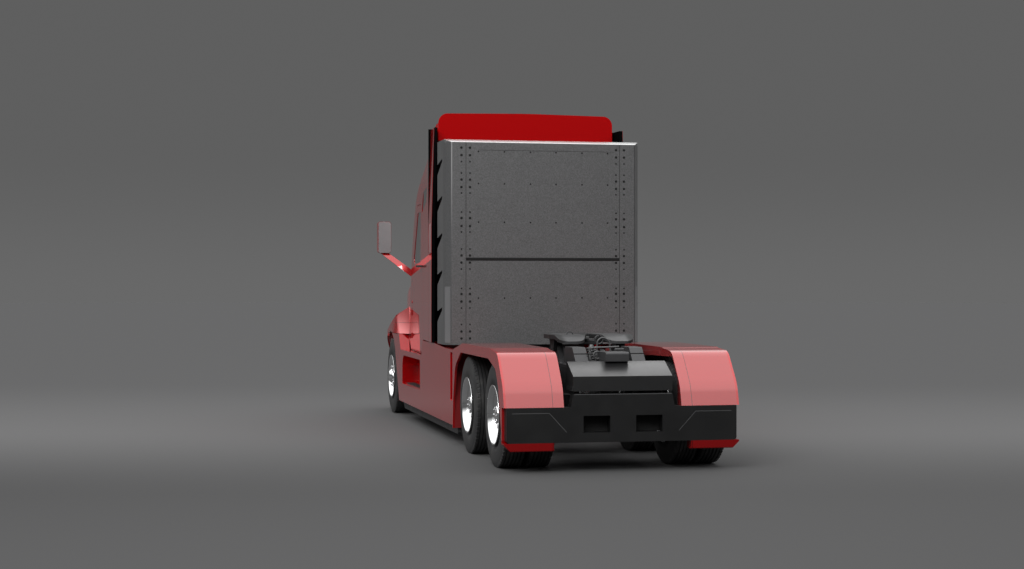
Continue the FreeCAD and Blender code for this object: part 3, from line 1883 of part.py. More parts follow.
def main():
    os.makedirs("parts", exist_ok=True)
    write("frame", frame())
    write("front_axle", front_axle())
    write("drive_axles", drive_axles() + driveshafts())
    write("suspension", suspension())
    write("engine_block", engine_block())
    write("fuel_tanks", both_sides(fuel_tank()))
    write("side_skirts", side_skirts())
    write("lower_rails", lower_rails())
    write("cab_shell", cab_shell())
    write("roof_cap", roof_cap())
    write("cab_glass", [windscreen()] + sleeper_windows())
    write("side_extenders", side_extenders())
    write("module_box", module_box())
    write("front_bumper", front_bumper())
    write("rear_fenders", both_sides(rear_fender()))
    write("rear_bumper", rear_bumper())
    write("tail_cover", tail_cover())
    write("fifth_wheel_base", fifth_wheel_base())
    write("fifth_wheel_plate", fifth_wheel_plate())
    write("mirrors", mirrors())
    write("mirror_glasses", mirror_glasses())
    write("dashboard", dashboard())
    write("cab_seats", cab_seats())
    write("hood_shell", hood_shell())
    write("headlamps", headlamps())
    write("grille", grille())
    write("track_rod", track_rod())
    write_pair("knuckle", knuckle())
    write_pair("door", door())
    write_pair("door_glass", door_glass())
    write_pair("door_handle", door_handle())
    write_pair("front_tyre", front_tyre())
    write_pair("front_wheel", steer_wheel())
    for name, station in (("rear", rear_axle_station), ("forward", forward_axle_station)):
        write_pair(name + "_tyres", dual_tyres(station))
        write_pair(name + "_wheels", dual_wheel(station))


main()
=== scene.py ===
# %% [markdown]
# # A sleeper cab road tractor
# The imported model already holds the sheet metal, the frame, the axles and every joint. This lesson dresses
# it: paint, rubber, chrome and glass, the small fasteners, and the treads, nuts and seats that a plain solid
# leaves out. Each cell makes one thing, says how its surface is worked out and prints what it made.

import math

import bmesh
import bpy
import numpy as np
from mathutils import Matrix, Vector


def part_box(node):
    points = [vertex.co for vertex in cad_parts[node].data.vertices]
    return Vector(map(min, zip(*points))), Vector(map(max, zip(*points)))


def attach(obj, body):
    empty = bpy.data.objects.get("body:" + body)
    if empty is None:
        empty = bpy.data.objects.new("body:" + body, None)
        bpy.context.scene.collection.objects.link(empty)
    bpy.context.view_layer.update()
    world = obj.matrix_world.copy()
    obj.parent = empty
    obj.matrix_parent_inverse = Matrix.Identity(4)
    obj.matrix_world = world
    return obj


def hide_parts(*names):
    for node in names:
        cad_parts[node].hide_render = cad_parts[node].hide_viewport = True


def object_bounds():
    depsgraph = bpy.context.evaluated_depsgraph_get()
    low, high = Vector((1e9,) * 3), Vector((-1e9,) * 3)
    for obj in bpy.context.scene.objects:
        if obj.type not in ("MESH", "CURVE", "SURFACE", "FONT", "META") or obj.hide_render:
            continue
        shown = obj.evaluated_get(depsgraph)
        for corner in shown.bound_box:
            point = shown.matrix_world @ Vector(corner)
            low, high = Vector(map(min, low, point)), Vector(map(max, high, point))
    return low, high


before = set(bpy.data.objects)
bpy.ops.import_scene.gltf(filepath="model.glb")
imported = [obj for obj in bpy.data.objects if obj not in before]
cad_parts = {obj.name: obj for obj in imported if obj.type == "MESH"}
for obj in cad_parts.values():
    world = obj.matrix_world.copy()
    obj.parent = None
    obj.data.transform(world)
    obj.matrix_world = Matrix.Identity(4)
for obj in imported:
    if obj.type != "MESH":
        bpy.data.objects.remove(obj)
cad_low, cad_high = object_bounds()
print("size of the model in metres:", [round(b - a, 3) for a, b in zip(cad_low, cad_high)])

# %% [markdown]
# ## Where things are
# The vehicle faces -Y and its left side is +X. Along the vehicle a place is easier to read as a station,
# the distance forward of the rear bumper's back face, so one short function turns stations into Y.


# %% Stations
def at(station):
    """Y of a station: the rearmost plane of the model less the distance forward of it."""
    return cad_high.y - station


SIDES = {"left": 1, "right": -1}

# %% [markdown]
# ## Surfaces from arrays
# Every new shape here is a grid of points worked out at once with numpy. A grid becomes faces by joining each
# point to its neighbour along the row and to the two below them. Rows that shrink to one point close a pole,
# and welding the doubled points afterwards turns those thin faces into neat triangles.


# %% Grids, welds and copies
WELD = 0.00002
SHARP = 34.0


def surface(points, ring=False):
    """A grid of points as a shape with closed rows; ring joins the last row to the first as well."""
    points = np.asarray(points, float)
    rows, columns = points.shape[:2]
    row = np.arange(rows if ring else rows - 1)[:, None]
    column = np.arange(columns)
    below, beside = (row + 1) % rows, (column + 1) % columns
    corners = [r * columns + c for r, c in ((row, column), (row, beside), (below, beside), (below, column))]
    return points.reshape(-1, 3), np.stack(corners, -1).reshape(-1, 4)


def together(*shapes):
    """Several shapes as one: the face numbers of each are raised by the points that come before it."""
    starts = np.cumsum([0] + [len(points) for points, _ in shapes[:-1]])
    faces = [faces + start for (_, faces), start in zip(shapes, starts)]
    return np.concatenate([points for points, _ in shapes]), np.concatenate(faces)


def repeated(shape, places):
    """A copy of the shape at each place: every point plus every place, as one array."""
    points, faces = shape
    places = np.asarray(places, float)
    steps = np.arange(len(places))[:, None, None] * len(points)
    return (places[:, None] + points[None]).reshape(-1, 3), (faces[None] + steps).reshape(-1, 4)


def mirrored(shape):
    """The shape on the other side of the vehicle: x changes its sign."""
    return shape[0] * (-1, 1, 1), shape[1]


def both(shape):
    return together(shape, mirrored(shape))


def linked(name, data):
    """Data as an object of the scene, at the origin and unscaled."""
    made = bpy.data.objects.new(name, data)
    bpy.context.scene.collection.objects.link(made)
    return made


def solid(name, shape, finish, sharp=SHARP):
    """A shape as a welded mesh object with its faces outwards and its sharp edges kept crisp."""
    points, faces = shape
    mesh = bpy.data.meshes.new(name)
    mesh.from_pydata(points.tolist(), [], faces.tolist())
    work = bmesh.new()
    work.from_mesh(mesh)
    bmesh.ops.remove_doubles(work, verts=work.verts, dist=WELD)
    bmesh.ops.recalc_face_normals(work, faces=work.faces)
    work.to_mesh(mesh)
    work.free()
    mesh.polygons.foreach_set("use_smooth", np.ones(len(mesh.polygons), bool))
    mesh.set_sharp_from_angle(angle=math.radians(sharp))
    mesh.materials.append(finish)
    return linked(name, mesh)


def mounted(made, body, replaces=()):
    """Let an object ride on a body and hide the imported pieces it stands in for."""
    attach(made, body)
    if replaces:
        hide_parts(*replaces)


def piece(name, shape, finish, body, replaces=(), sharp=SHARP):
    """A shape in one of the finishes, riding on a body; its material is that finish."""
    made = solid(name, shape, finishes[finish], sharp)
    mounted(made, body, replaces)
    print(name, "on", body, len(made.data.polygons), "faces")
    return made


# %% [markdown]
# ## Basic solids
# Three families cover most parts: a profile turned about an axis, an outline drawn out into a slab, and a box
# whose corners are eighths of a ball. They are written once and used by every later cell.


# %% Turned, drawn and rounded solids
AXES = {"x": (1, 2, 0), "y": (2, 0, 1), "z": (0, 1, 2)}


def on_axis(a, b, along, axis):
    """Points from two coordinates across an axis and one along it."""
    parts = dict(zip(AXES[axis], np.broadcast_arrays(a, b, along)))
    return np.stack([parts[0], parts[1], parts[2]], -1).astype(float)


def turned(profile, columns, axis="x", centre=(0.0, 0.0, 0.0)):
    """Profile of (along, radius) turned about an axis: points go round as radius times cosine and sine."""
    profile = np.asarray(profile, float)
    angle = np.linspace(0.0, 2 * np.pi, columns, endpoint=False)
    along, radius = profile[:, :1], profile[:, 1:]
    return surface(on_axis(radius * np.cos(angle), radius * np.sin(angle), along, axis) + centre)


def softened(corners, cut, steps=3):
    """A line of corners; each inner corner becomes a quadratic curve that starts and ends a cut away."""
    corners = np.asarray(corners, float)
    here, before, after = corners[1:-1], corners[:-2], corners[2:]
    back, ahead = before - here, after - here
    back_length = np.linalg.norm(back, axis=1, keepdims=True)
    ahead_length = np.linalg.norm(ahead, axis=1, keepdims=True)
    reach = np.minimum(cut, np.minimum(back_length, ahead_length) * 0.45)
    start, end = here + back / back_length * reach, here + ahead / ahead_length * reach
    t = np.linspace(0.0, 1.0, steps + 1)[None, :, None]
    curve = (1 - t) ** 2 * start[:, None] + 2 * t * (1 - t) * here[:, None] + t**2 * end[:, None]
    return np.concatenate([corners[:1], curve.reshape(-1, corners.shape[1]), corners[-1:]])


def drawn(outline, low, high, axis, edge):
    """Closed outline as a slab along an axis; its rim is pulled in by the edge at both closed faces."""
    outline = np.asarray(outline, float)
    middle = outline.mean(0)
    reach = np.linalg.norm(outline - middle, axis=1, keepdims=True)
    inner, point = middle + (outline - middle) * (1 - edge / reach), middle + 0 * outline
    rings = [(point, low), (inner, low), (outline, low + edge)]
    rings += [(outline, high - edge), (inner, high), (point, high)]
    return surface([on_axis(*ring.T, height, axis) for ring, height in rings])


def rounded_box(low, high, radius, steps=3):
    """A box with ball corners: half the size less the radius, by sign, plus the radius along a direction."""
    low, high = np.asarray(low, float), np.asarray(high, float)
    centre, half = (low + high) / 2, (high - low) / 2
    turn = np.linspace(0.0, np.pi / 2, steps + 1)
    around = (np.arange(4)[:, None] * np.pi / 2 + turn).ravel()
    rise = np.concatenate([turn - np.pi / 2, turn])[:, None]
    direction = on_axis(np.cos(rise) * np.cos(around), np.cos(rise) * np.sin(around), np.sin(rise), "z")
    sign_x, sign_y = (np.repeat(signs, steps + 1) for signs in ((1, -1, -1, 1), (1, 1, -1, -1)))
    sign_z = np.repeat((-1, 1), steps + 1)[:, None]
    body = centre + on_axis(sign_x, sign_y, sign_z, "z") * (half - radius) + radius * direction
    pole = np.zeros((1, len(around), 3)) + centre
    return surface(np.concatenate([pole - (0, 0, half[2]), body, pole + (0, 0, half[2])]))


def tube(path, radius, columns=10):
    """Round bar along a path: rings at right angles to the path's direction, closed at both ends."""
    path = np.asarray(path, float)
    ahead = np.gradient(path, axis=0)
    ahead /= np.linalg.norm(ahead, axis=1, keepdims=True)
    reference = np.where(np.abs(ahead[:, 2:]) > 0.9, [[0.0, 1.0, 0.0]], [[0.0, 0.0, 1.0]])
    side = np.cross(ahead, reference)
    side /= np.linalg.norm(side, axis=1, keepdims=True)
    up = np.cross(side, ahead)
    angle = np.linspace(0.0, 2 * np.pi, columns, endpoint=False)[:, None]
    rings = path[:, None] + radius * (np.cos(angle) * side[:, None] + np.sin(angle) * up[:, None])
    first, last = (np.repeat(path[i][None, None], columns, 1) for i in (0, -1))
    return surface(np.concatenate([first, rings, last]))


def hexagon_head(radius, height, axis):
    """Bolt head or nut: a six-sided profile that narrows a little at its face."""
    profile = [(0.0, 0.0), (0.0, radius), (height * 0.8, radius), (height, radius * 0.86), (height, 0.0)]
    return turned(profile, 6, axis)


# %% [markdown]
# ## Finishes
# A material is written as arithmetic. One small class wraps a value of a node tree, so that `1 - mask` or
# `noise * 0.2` adds the Math nodes, and one method makes any other node from its settings and its sockets.
# Patterns read Object coordinates, so they stay on a piece wherever a joint takes it.


# %% Values and finishes
def operator(operation, reflected=False):
    """A method that adds one Math node; the reflected form takes its two values the other way round."""

    def method(self, *other):
        values = (*other, self) if reflected else (self, *other)
        return self.owner.node("ShaderNodeMath", {"operation": operation}, dict(enumerate(values)))

    return method


class Value:
    """A value in a node tree; arithmetic on it adds Math nodes."""

    def __init__(self, owner, socket):
        self.owner, self.socket = owner, socket

    __add__, __mul__ = operator("ADD"), operator("MULTIPLY")
    __sub__, __rsub__ = operator("SUBTRACT"), operator("SUBTRACT", reflected=True)
    __truediv__, __abs__ = operator("DIVIDE"), operator("ABSOLUTE")
    __lt__, __gt__ = operator("LESS_THAN"), operator("GREATER_THAN")
    larger = operator("MAXIMUM")

    def step(self, low, high, start=0.0, end=1.0):
        """From a start at low to an end at high, smoothly."""
        limits = {"From Min": low, "From Max": high, "To Min": start, "To Max": end}
        settings = {"interpolation_type": "SMOOTHSTEP"}
        return self.owner.node("ShaderNodeMapRange", settings, {"Value": self, **limits})


class Nodes:
    """A node tree being written."""

    def __init__(self, tree):
        self.tree = tree

    def feed(self, target, value):
        """Link a value into a socket, or write a number there."""
        if isinstance(value, Value):
            self.tree.links.new(value.socket, target)
        else:
            target.default_value = value

    def node(self, kind, settings=None, sockets=None, output=0):
        """Any node: its settings first, then numbers or links into its sockets."""
        made = self.tree.nodes.new(kind)
        for name, setting in (settings or {}).items():
            setattr(made, name, setting)
        for name, value in (sockets or {}).items():
            self.feed(made.inputs[name], value)
        return Value(self, made.outputs[output] if made.outputs else None)

    def place(self, space="Object"):
        return self.node("ShaderNodeTexCoord", output=space)

    def axes(self, space="Object"):
        """The three coordinates as values."""
        split = self.node("ShaderNodeSeparateXYZ", None, {0: self.place(space)}).socket.node
        return [Value(self, output) for output in split.outputs]


finishes = {}


class Finish(Nodes):
    """A material being written and kept by its name: a Principled shader and the nodes that feed it."""

    def __init__(self, name, colour, **sockets):
        self.colour = colour
        finishes[name] = material = bpy.data.materials.new(name)
        material.use_nodes = True
        material.diffuse_color = (*colour, 1.0)
        super().__init__(material.node_tree)
        self.shader = self.tree.nodes["Principled BSDF"]
        self.set("Base Color", (*colour, 1.0))
        for socket, value in sockets.items():
            self.set(socket.replace("_", " ").title().replace("Ior", "IOR"), value)

    def set(self, socket, value):
        self.feed(self.shader.inputs[socket], value)

    def noise(self, scale, detail=3.0, stretch=None):
        """Cloudy values about one half; stretch scales the three axes for brushed or streaked looks."""
        place = self.place()
        if stretch:
            place = self.node("ShaderNodeVectorMath", {"operation": "MULTIPLY"}, {0: place, 1: stretch})
        return self.node("ShaderNodeTexNoise", None, {"Vector": place, "Scale": scale, "Detail": detail})

    def mix(self, first, second, share):
        """Two colours mixed by a share."""
        sockets = {0: share, 6: first, 7: second}
        return self.node("ShaderNodeMix", {"data_type": "RGBA"}, sockets, output=2)

    def mottled(self, low, high, share):
        """The finish's own colour, from a darker to a lighter factor by a share."""
        shades = [(*[min(1.0, part * factor) for part in self.colour], 1.0) for factor in (low, high)]
        return self.mix(*shades, share)

    def wear(self, colour, roughness, height, strength, distance):
        """The three things that vary over every piece: its colour, its shine and its fine relief."""
        relief = {"Height": height, "Strength": strength, "Distance": distance}
        self.set("Base Color", colour)
        self.set("Roughness", roughness)
        self.set("Normal", self.node("ShaderNodeBump", None, relief))


# %% [markdown]
# ### Paint, metal and rubber
# The paint is a candy red: a glossy tinted layer under a hard clear coat. Seen square on it is deep red, seen
# along a side it mirrors the studio, and faces that lean up turn pale, because a Fresnel coat does exactly
# that. Masks made from Object coordinates draw the joints between panels, black painted shade on the inner
# faces and in gaps, and painted light and shade on places made hazier, deeper or duller than the rest.


# %% Painted finishes
RED = (0.43, 0.005, 0.0065)
METALLIC = 0.42
# Black painted shade for gaps and hollows.
SHADE_BLACK = (0.0035, 0.0035, 0.0038, 1.0)
JOINT = (0.02, 0.002, 0.002, 1.0)
# Painted light and shade: brighter reds for lit faces, a darker red for shade, a greyer red for sheen, a pink
# for reflection.
LIP_LIGHT = (0.60, 0.002, 0.003, 1.0)
SHADED = (0.26, 0.004, 0.005, 1.0)
SHEEN_HAZE = (0.365, 0.036, 0.037, 1.0)
REFLECTION_PINK = (0.60, 0.10, 0.10, 1.0)
WELL_LIGHT = (0.50, 0.004, 0.005, 1.0)


def red_paint(name, seams=None, painted_shade=None, tones=()):
    """Coated red. One mask draws the joints and another paints black shade; each of the tones, which paint light
    and shade, is a mask, a colour and how much of the coat it takes away."""
    gloss = {"coat_roughness": 0.015, "coat_ior": 1.85, "specular_ior_level": 0.0}
    paint = Finish(name, RED, metallic=METALLIC, **gloss)
    colour = paint.mottled(0.95, 1.04, paint.noise(1.7, 2.0))
    height = paint.noise(300.0, 1.0) * 0.04
    coat, roughness = 1.0, 0.22
    # Painted light and shade: each tone recolours its area and takes part of the coat away.
    for area, tone, dulling in tones:
        mask = area(*paint.axes())
        colour = paint.mix(colour, tone, mask)
        coat = coat - mask * dulling if dulling else coat
    if seams:
        mask = seams(*paint.axes())
        colour = paint.mix(colour, JOINT, mask)
        height = height - mask
    # Black painted shade: no coat, no metal and a rough surface.
    if painted_shade:
        mask = painted_shade(*paint.axes())
        colour = paint.mix(colour, SHADE_BLACK, mask)
        coat = (1 - mask) * coat
        paint.set("Metallic", METALLIC - mask * METALLIC)
        roughness = mask * 0.7 + roughness
    paint.set("Coat Weight", coat)
    paint.wear(colour, roughness, height, 0.06, 0.001)


SEAM_HALF = 0.0024
FENDER_STRIP, FENDER_RIM, TOE_TOP, TOE_FRONT = 0.727, 1.205, 0.330, 0.20
HOOD_JOINT, HOOD_BACK = 1.345, 7.9
SLOPE_FRONT, SLOPE_BACK, SLOPE_HALF, SLOPE_FOOT = 8.1, 7.6, 1.196, 1.02
EXTENDER_BACK, EXTENDER_HALF, EXTENDER_TAPER = 4.38, 1.247, 0.06
LEAN_LOW, LEAN_HEIGHT, LEAN = 2.60, 1.30, 0.028
CAB_BACK, LIP_FOOT, LIP_HALF = 4.756, 3.68, 1.134
WELL_HALF, WELL_MIDDLE, WELL_REACH, WELL_BACK, WELL_FRONT = 1.150, 0.70, 0.20, 5.60, 7.15


def rear_fender_seam(x, y, z):
    """The inner strip of the fender is a panel of its own: a line runs over it at one distance across."""
    return abs(abs(x) - FENDER_STRIP) < SEAM_HALF


def fender_sheen(x, y, z):
    """Painted sheen: inside the fenders' outer edges, on their tops and backs, the red is greyer and hazier."""
    return abs(x) < FENDER_RIM


def shaded_fender_toes(x, y, z):
    """Painted shade: the fenders' upright ends below the bumper are a darker, duller red."""
    return (z < TOE_TOP) * (y > at(TOE_FRONT))


def hood_seam(x, y, z):
    """A bolted joint crosses the back of each front fender."""
    return (abs(z - HOOD_JOINT) < SEAM_HALF) * (y > at(HOOD_BACK))


def fender_back_reflection(x, y, z):
    """Painted reflection: pale pink on the slope behind each front wheel, between hood side and fender's outer
    edge.
    """
    slope = y.step(at(SLOPE_FRONT), at(SLOPE_BACK)) * abs(x).step(0.90, 1.00)
    return slope * (abs(x) < SLOPE_HALF) * (z > SLOPE_FOOT)


def gap_shade(x, y, z):
    """The extender narrows forward and leans in; just inside its outer face it is painted black as shade."""
    outer = (y - at(EXTENDER_BACK)) * EXTENDER_TAPER + EXTENDER_HALF
    return abs(x) < outer * (1 - ((z - LEAN_LOW) / LEAN_HEIGHT).larger(0.0) * LEAN)


def cab_back_shade(x, y, z):
    """The cab's back wall faces the module and is painted black as shade, beside the roof's lip too."""
    return (y > at(CAB_BACK)) * ((z < LIP_FOOT).larger(abs(x) > LIP_HALF))


def lit_roof_lip(x, y, z):
    """Painted light: the upright back face of the roof's lip is a brighter, less glossy red."""
    return (y > at(CAB_BACK)) * (z > LIP_FOOT - 0.02)


def lit_step_well(x, y, z):
    """Painted light: the recess of the cab's step, inside the skirt's face, is a brighter, less glossy red."""
    well = (abs(x) < WELL_HALF) * (abs(z - WELL_MIDDLE) < WELL_REACH)
    return well * (y < at(WELL_BACK)) * (y > at(WELL_FRONT))


# Painted sheen on the rear fenders' tops and backs, painted shade on their toes.
fender_tones = [(fender_sheen, SHEEN_HAZE, 0.0), (shaded_fender_toes, SHADED, 0.75)]
red_paint("red_paint")
red_paint("red_paint_rear_fender", rear_fender_seam, tones=fender_tones)
# Painted reflection on the slopes behind the front wheels.
red_paint("red_paint_hood", hood_seam, tones=[(fender_back_reflection, REFLECTION_PINK, 0.0)])
# Painted light in the recess of the cab's step.
red_paint("red_paint_skirt", tones=[(lit_step_well, WELL_LIGHT, 0.4)])
# Black painted shade inside the extenders and on the cab's back wall, painted light on the roof's lip.
red_paint("red_paint_extender", painted_shade=gap_shade)
red_paint("red_paint_cab", painted_shade=cab_back_shade, tones=[(lit_roof_lip, LIP_LIGHT, 0.75)])
print("paints:", list(finishes))


# %% Dull and metal finishes
def dull(name, colour, roughness, grain=240.0, depth=0.18, **sockets):
    """Moulded plastic, casting or rubber: patches of more and less shine, and a fine grain."""
    finish = Finish(name, colour, **sockets)
    tone = finish.mottled(0.84, 1.18, finish.noise(2.4, 5.0))
    patches = finish.noise(6.0, 4.0) * 0.22 + (roughness - 0.11)
    finish.wear(tone, patches, finish.noise(grain, 2.0), depth, 0.0012)


def bright(name, colour, roughness, streak=None):
    """Polished or brushed metal: streaks of slightly different roughness along the least stretched axis."""
    finish = Finish(name, colour, metallic=1.0)
    brush = finish.noise(60.0, 3.0, streak)
    tone = finish.mottled(0.9, 1.06, finish.noise(3.0, 3.0))
    finish.wear(tone, brush * (roughness * 0.9) + roughness * 0.55, brush, 0.02, 0.0006)


def tyre_rubber():
    """Black rubber, paler and rougher in dusty patches."""
    rubber = Finish("tyre_rubber", (0.020, 0.020, 0.021))
    dust = rubber.noise(9.0, 5.0).step(0.45, 0.8)
    colour = rubber.mix((0.020, 0.020, 0.021, 1.0), (0.05, 0.048, 0.046, 1.0), dust)
    rubber.wear(colour, dust * 0.16 + 0.62, rubber.noise(180.0, 3.0), 0.25, 0.0012)


# Painted highlights: a pale grey on the top bevel, a lighter grey along the left bevel's edge.
HIGHLIGHT_GREY = (0.70, 0.70, 0.705, 1.0)
GLINT_GREY = (0.42, 0.42, 0.425, 1.0)
LID_FOOT, SLOT_START, SLOT_HALF, FRONT_START = 3.636, 3.802, 1.2085, 4.25
EDGE_FOOT, EDGE_START, EDGE_END = 3.602, 3.5556, 3.677
SKIN_END, GLINT_X, SHADE_LINE_X = 3.562, 1.136, -1.137


def speckled_metal():
    """The module's satin sheet: mid grey with a salt and pepper grain. Its slots and its front part are painted
    black as shade; the top bevel is painted pale as a highlight and is also smoother and more metallic; a pale
    line along the left bevel's edge, fading downwards, is a painted highlight, and a dark line along the right
    bevel's edge is painted shade.
    """
    coat = {"coat_weight": 0.5, "coat_roughness": 0.25}
    sheet = Finish("module_metal", (0.138, 0.139, 0.141), **coat)
    x, y, z = sheet.axes()
    # Painted shade: black in the slots and on the front part beside the cab.
    slots = (y < at(SLOT_START)) * (abs(x) < SLOT_HALF)
    dark = slots.larger(y < at(FRONT_START)) * (z < LID_FOOT)
    # Painted highlight on the top bevel, which is also smoother and more metallic.
    polished_highlight = (z > EDGE_FOOT) * (y > at(EDGE_END)) * (y < at(EDGE_START))
    skin = y > at(SKIN_END)
    # Painted highlight along the left bevel's edge, fading downwards; painted shade along the right bevel's
    # edge.
    left_edge_glint = (abs(x - GLINT_X) < 0.006) * z.step(2.2, 3.6) * skin
    right_edge_shade = (abs(x - SHADE_LINE_X) < 0.004) * skin
    fine = sheet.noise(310.0, 2.0)
    speckle = sheet.noise(95.0, 4.0) * 0.6 + fine * 0.4
    grey = sheet.mottled(0.72, 1.34, speckle.step(0.3, 0.7))
    grey = sheet.mix(sheet.mix(grey, HIGHLIGHT_GREY, polished_highlight), GLINT_GREY, left_edge_glint)
    sheet.set("Metallic", 0.55 - dark * 0.55 + polished_highlight * 0.4)
    shine = (speckle * 0.3 + 0.28 - polished_highlight * 0.2).larger(dark * 0.9)
    sheet.wear(sheet.mix(grey, SHADE_BLACK, dark.larger(right_edge_shade * 0.8)), shine, fine, 0.1, 0.0008)


LINE_Z, LINE_BEND, LINE_SLOPE = 0.604, 0.764, 1.085
BUMPER_RIM, RIM_HALF = 0.783, 0.510


def bumper_black():
    """Satin black; a pale line is pressed into each wing, level and then bent, and the upper rim is pale."""
    bar = Finish("bumper_black", (0.0045, 0.0045, 0.0047), specular_ior_level=0.42)
    x, y, z = bar.axes()
    across, rise = abs(x), z - LINE_Z
    level = (abs(rise) < 0.0032) * (across > LINE_BEND) * (across < 1.143)
    down = abs(rise - (across - LINE_BEND) * LINE_SLOPE) < 0.0045
    bent = down * (across < LINE_BEND + 0.001) * (across > 0.587)
    line = level.larger(bent) * (y > at(0.002))
    rim = (z > BUMPER_RIM) * (across < RIM_HALF) * (y > at(0.03))
    colour = bar.mix((*bar.colour, 1.0), (0.06, 0.06, 0.062, 1.0), line.larger(rim))
    bar.wear(colour, bar.noise(6.0, 4.0) * 0.22 + 0.35, bar.noise(520.0, 2.0) * 0.1 - line, 0.15, 0.0015)


def plate_with_shaded_ends():
    """The coupling plate is worn to the steel on both pads; its throat and its ends are painted darker as shade.
    """
    plate = Finish("coupling_plate_steel", (0.062, 0.062, 0.064), metallic=0.5)
    across = abs(plate.axes()[0]) + plate.noise(9.0, 3.0) * 0.04
    # Painted shade: darker in the throat and towards the ends, and rougher there.
    film = across.step(0.34, 0.40).larger(1 - across.step(0.10, 0.15))
    scratched = plate.mottled(0.84, 1.3, plate.noise(24.0, 5.0))
    tone = plate.mix(scratched, (0.010, 0.010, 0.0105, 1.0), film * 0.85)
    shine = (film + plate.noise(6.0, 4.0)) * 0.2 + 0.28
    plate.wear(tone, shine, plate.noise(240.0, 2.0), 0.18, 0.0012)


MESH_HALF, MESH_BAR = 0.009, 0.0062


def mesh_screen():
    """Black expanded mesh: two slanting sets of stripes cross, and where both are low it is a hole."""
    screen = Finish("dark_mesh", (0.012, 0.012, 0.012))
    x, _, z = screen.axes()
    holes = 1.0
    for slant in (x + z, x - z):
        stripes = screen.node("ShaderNodeMath", {"operation": "PINGPONG"}, {0: slant, 1: MESH_HALF})
        holes = (stripes < MESH_BAR) * holes
    tone = screen.mix((0.03, 0.03, 0.031, 1.0), (0.002, 0.002, 0.002, 1.0), holes)
    screen.wear(tone, 0.6, 1 - holes, 0.5, 0.002)


def tinted_glass(name, colour, alpha):
    """Glass with a hard coat and a thin film that varies its shine."""
    glass = Finish(name, colour, coat_weight=1.0, coat_roughness=0.02, alpha=alpha)
    glass.set("Roughness", glass.noise(2.0, 3.0) * 0.03 + 0.015)


def woven(name, colour):
    """Seat cloth: two crossing sets of threads, each a wave across the piece, with a soft sheen."""
    cloth = Finish(name, colour, sheen_weight=0.3)
    sockets = {"Vector": cloth.place(), "Scale": 190.0}
    settings = [{"wave_type": "BANDS", "bands_direction": axis} for axis in "XYZ"]
    waves = [cloth.node("ShaderNodeTexWave", setting, sockets) for setting in settings]
    weave = waves[0] * waves[1] + waves[2] * 0.5
    cloth.wear(cloth.mottled(0.7, 1.25, weave), 0.9, weave, 0.3, 0.0008)


cover = {"grain": 520.0, "depth": 0.08, "coat_weight": 0.5, "coat_roughness": 0.3}
dull("chassis_black", (0.018, 0.018, 0.019), 0.5)
dull("cover_grey", (0.009, 0.009, 0.0093), 0.34, **cover)
dull("black_plastic", (0.016, 0.016, 0.017), 0.55, grain=520.0)
dull("engine_grey", (0.12, 0.12, 0.12), 0.55)
dull("coupling_steel", (0.055, 0.055, 0.057), 0.40, metallic=0.5)
dull("coupling_light", (0.10, 0.10, 0.102), 0.42, metallic=0.5)
dull("dash_plastic", (0.05, 0.048, 0.046), 0.6, grain=700.0)
# Flat black for the module's band and rivets, and painted shade behind the rear bumper's holes.
dull("flat_black_and_shade", (0.004, 0.004, 0.004), 0.9)
dull("seam_black", (0.008, 0.008, 0.008), 0.6)
dull("mirror_glass", (0.25, 0.255, 0.26), 0.4, grain=900.0, depth=0.02, metallic=0.2)
dull("bevel_plate", (0.20, 0.20, 0.205), 0.5, metallic=0.4)
bright("tank_metal", (0.62, 0.63, 0.64), 0.24, (1.0, 0.06, 1.0))
bright("grille_chrome", (0.78, 0.79, 0.8), 0.12)
bright("wheel_chrome", (0.84, 0.845, 0.85), 0.07)
bright("nut_steel", (0.55, 0.55, 0.56), 0.2)
bumper_black()
speckled_metal()
tyre_rubber()
mesh_screen()
plate_with_shaded_ends()
tinted_glass("window_glass", (0.012, 0.013, 0.014), 0.8)
tinted_glass("lamp_glass", (0.5, 0.5, 0.52), 0.25)
woven("seat_fabric", (0.075, 0.078, 0.085))
print("finishes:", len(finishes))

# %% [markdown]
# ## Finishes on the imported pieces
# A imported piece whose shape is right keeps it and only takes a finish. Its mesh is loose triangles, so a
# small Geometry Nodes tree welds them and keeps an edge crisp only where two faces meet at a real angle.
# That gives the cab and hood the even reflections of pressed sheet.

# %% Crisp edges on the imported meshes


def crisp_edges():
    """Weld, drop the stored normals, shade smooth, then mark edges sharper than the limit."""
    tree = bpy.data.node_groups.new("crisp_edges", "GeometryNodeTree")
    for way in ("INPUT", "OUTPUT"):
        tree.interface.new_socket("Geometry", in_out=way, socket_type="NodeSocketGeometry")
    nodes = Nodes(tree)
    limits = {0: nodes.node("GeometryNodeInputMeshEdgeAngle"), 1: math.radians(SHARP)}
    sharp = nodes.node("FunctionNodeCompare", {"operation": "GREATER_THAN"}, limits)
    steps = [
        ("MergeByDistance", {}, {"Distance": WELD}),
        ("RemoveAttribute", {}, {"Name": "custom_normal"}),
        ("SetShadeSmooth", {}, {}),
        ("SetShadeSmooth", {"domain": "EDGE"}, {"Selection": sharp, "Shade Smooth": False}),
    ]
    shape = nodes.node("NodeGroupInput")
    for kind, settings, sockets in steps:
        shape = nodes.node("GeometryNode" + kind, settings, {"Geometry": shape, **sockets})
    nodes.node("NodeGroupOutput", None, {0: shape})
    return tree


crisp = crisp_edges()


def dress(shown, finish):
    """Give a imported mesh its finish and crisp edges."""
    shown.data.materials.clear()
    shown.data.materials.append(finishes[finish])
    shown.modifiers.new("crisp_edges", "NODES").node_group = crisp


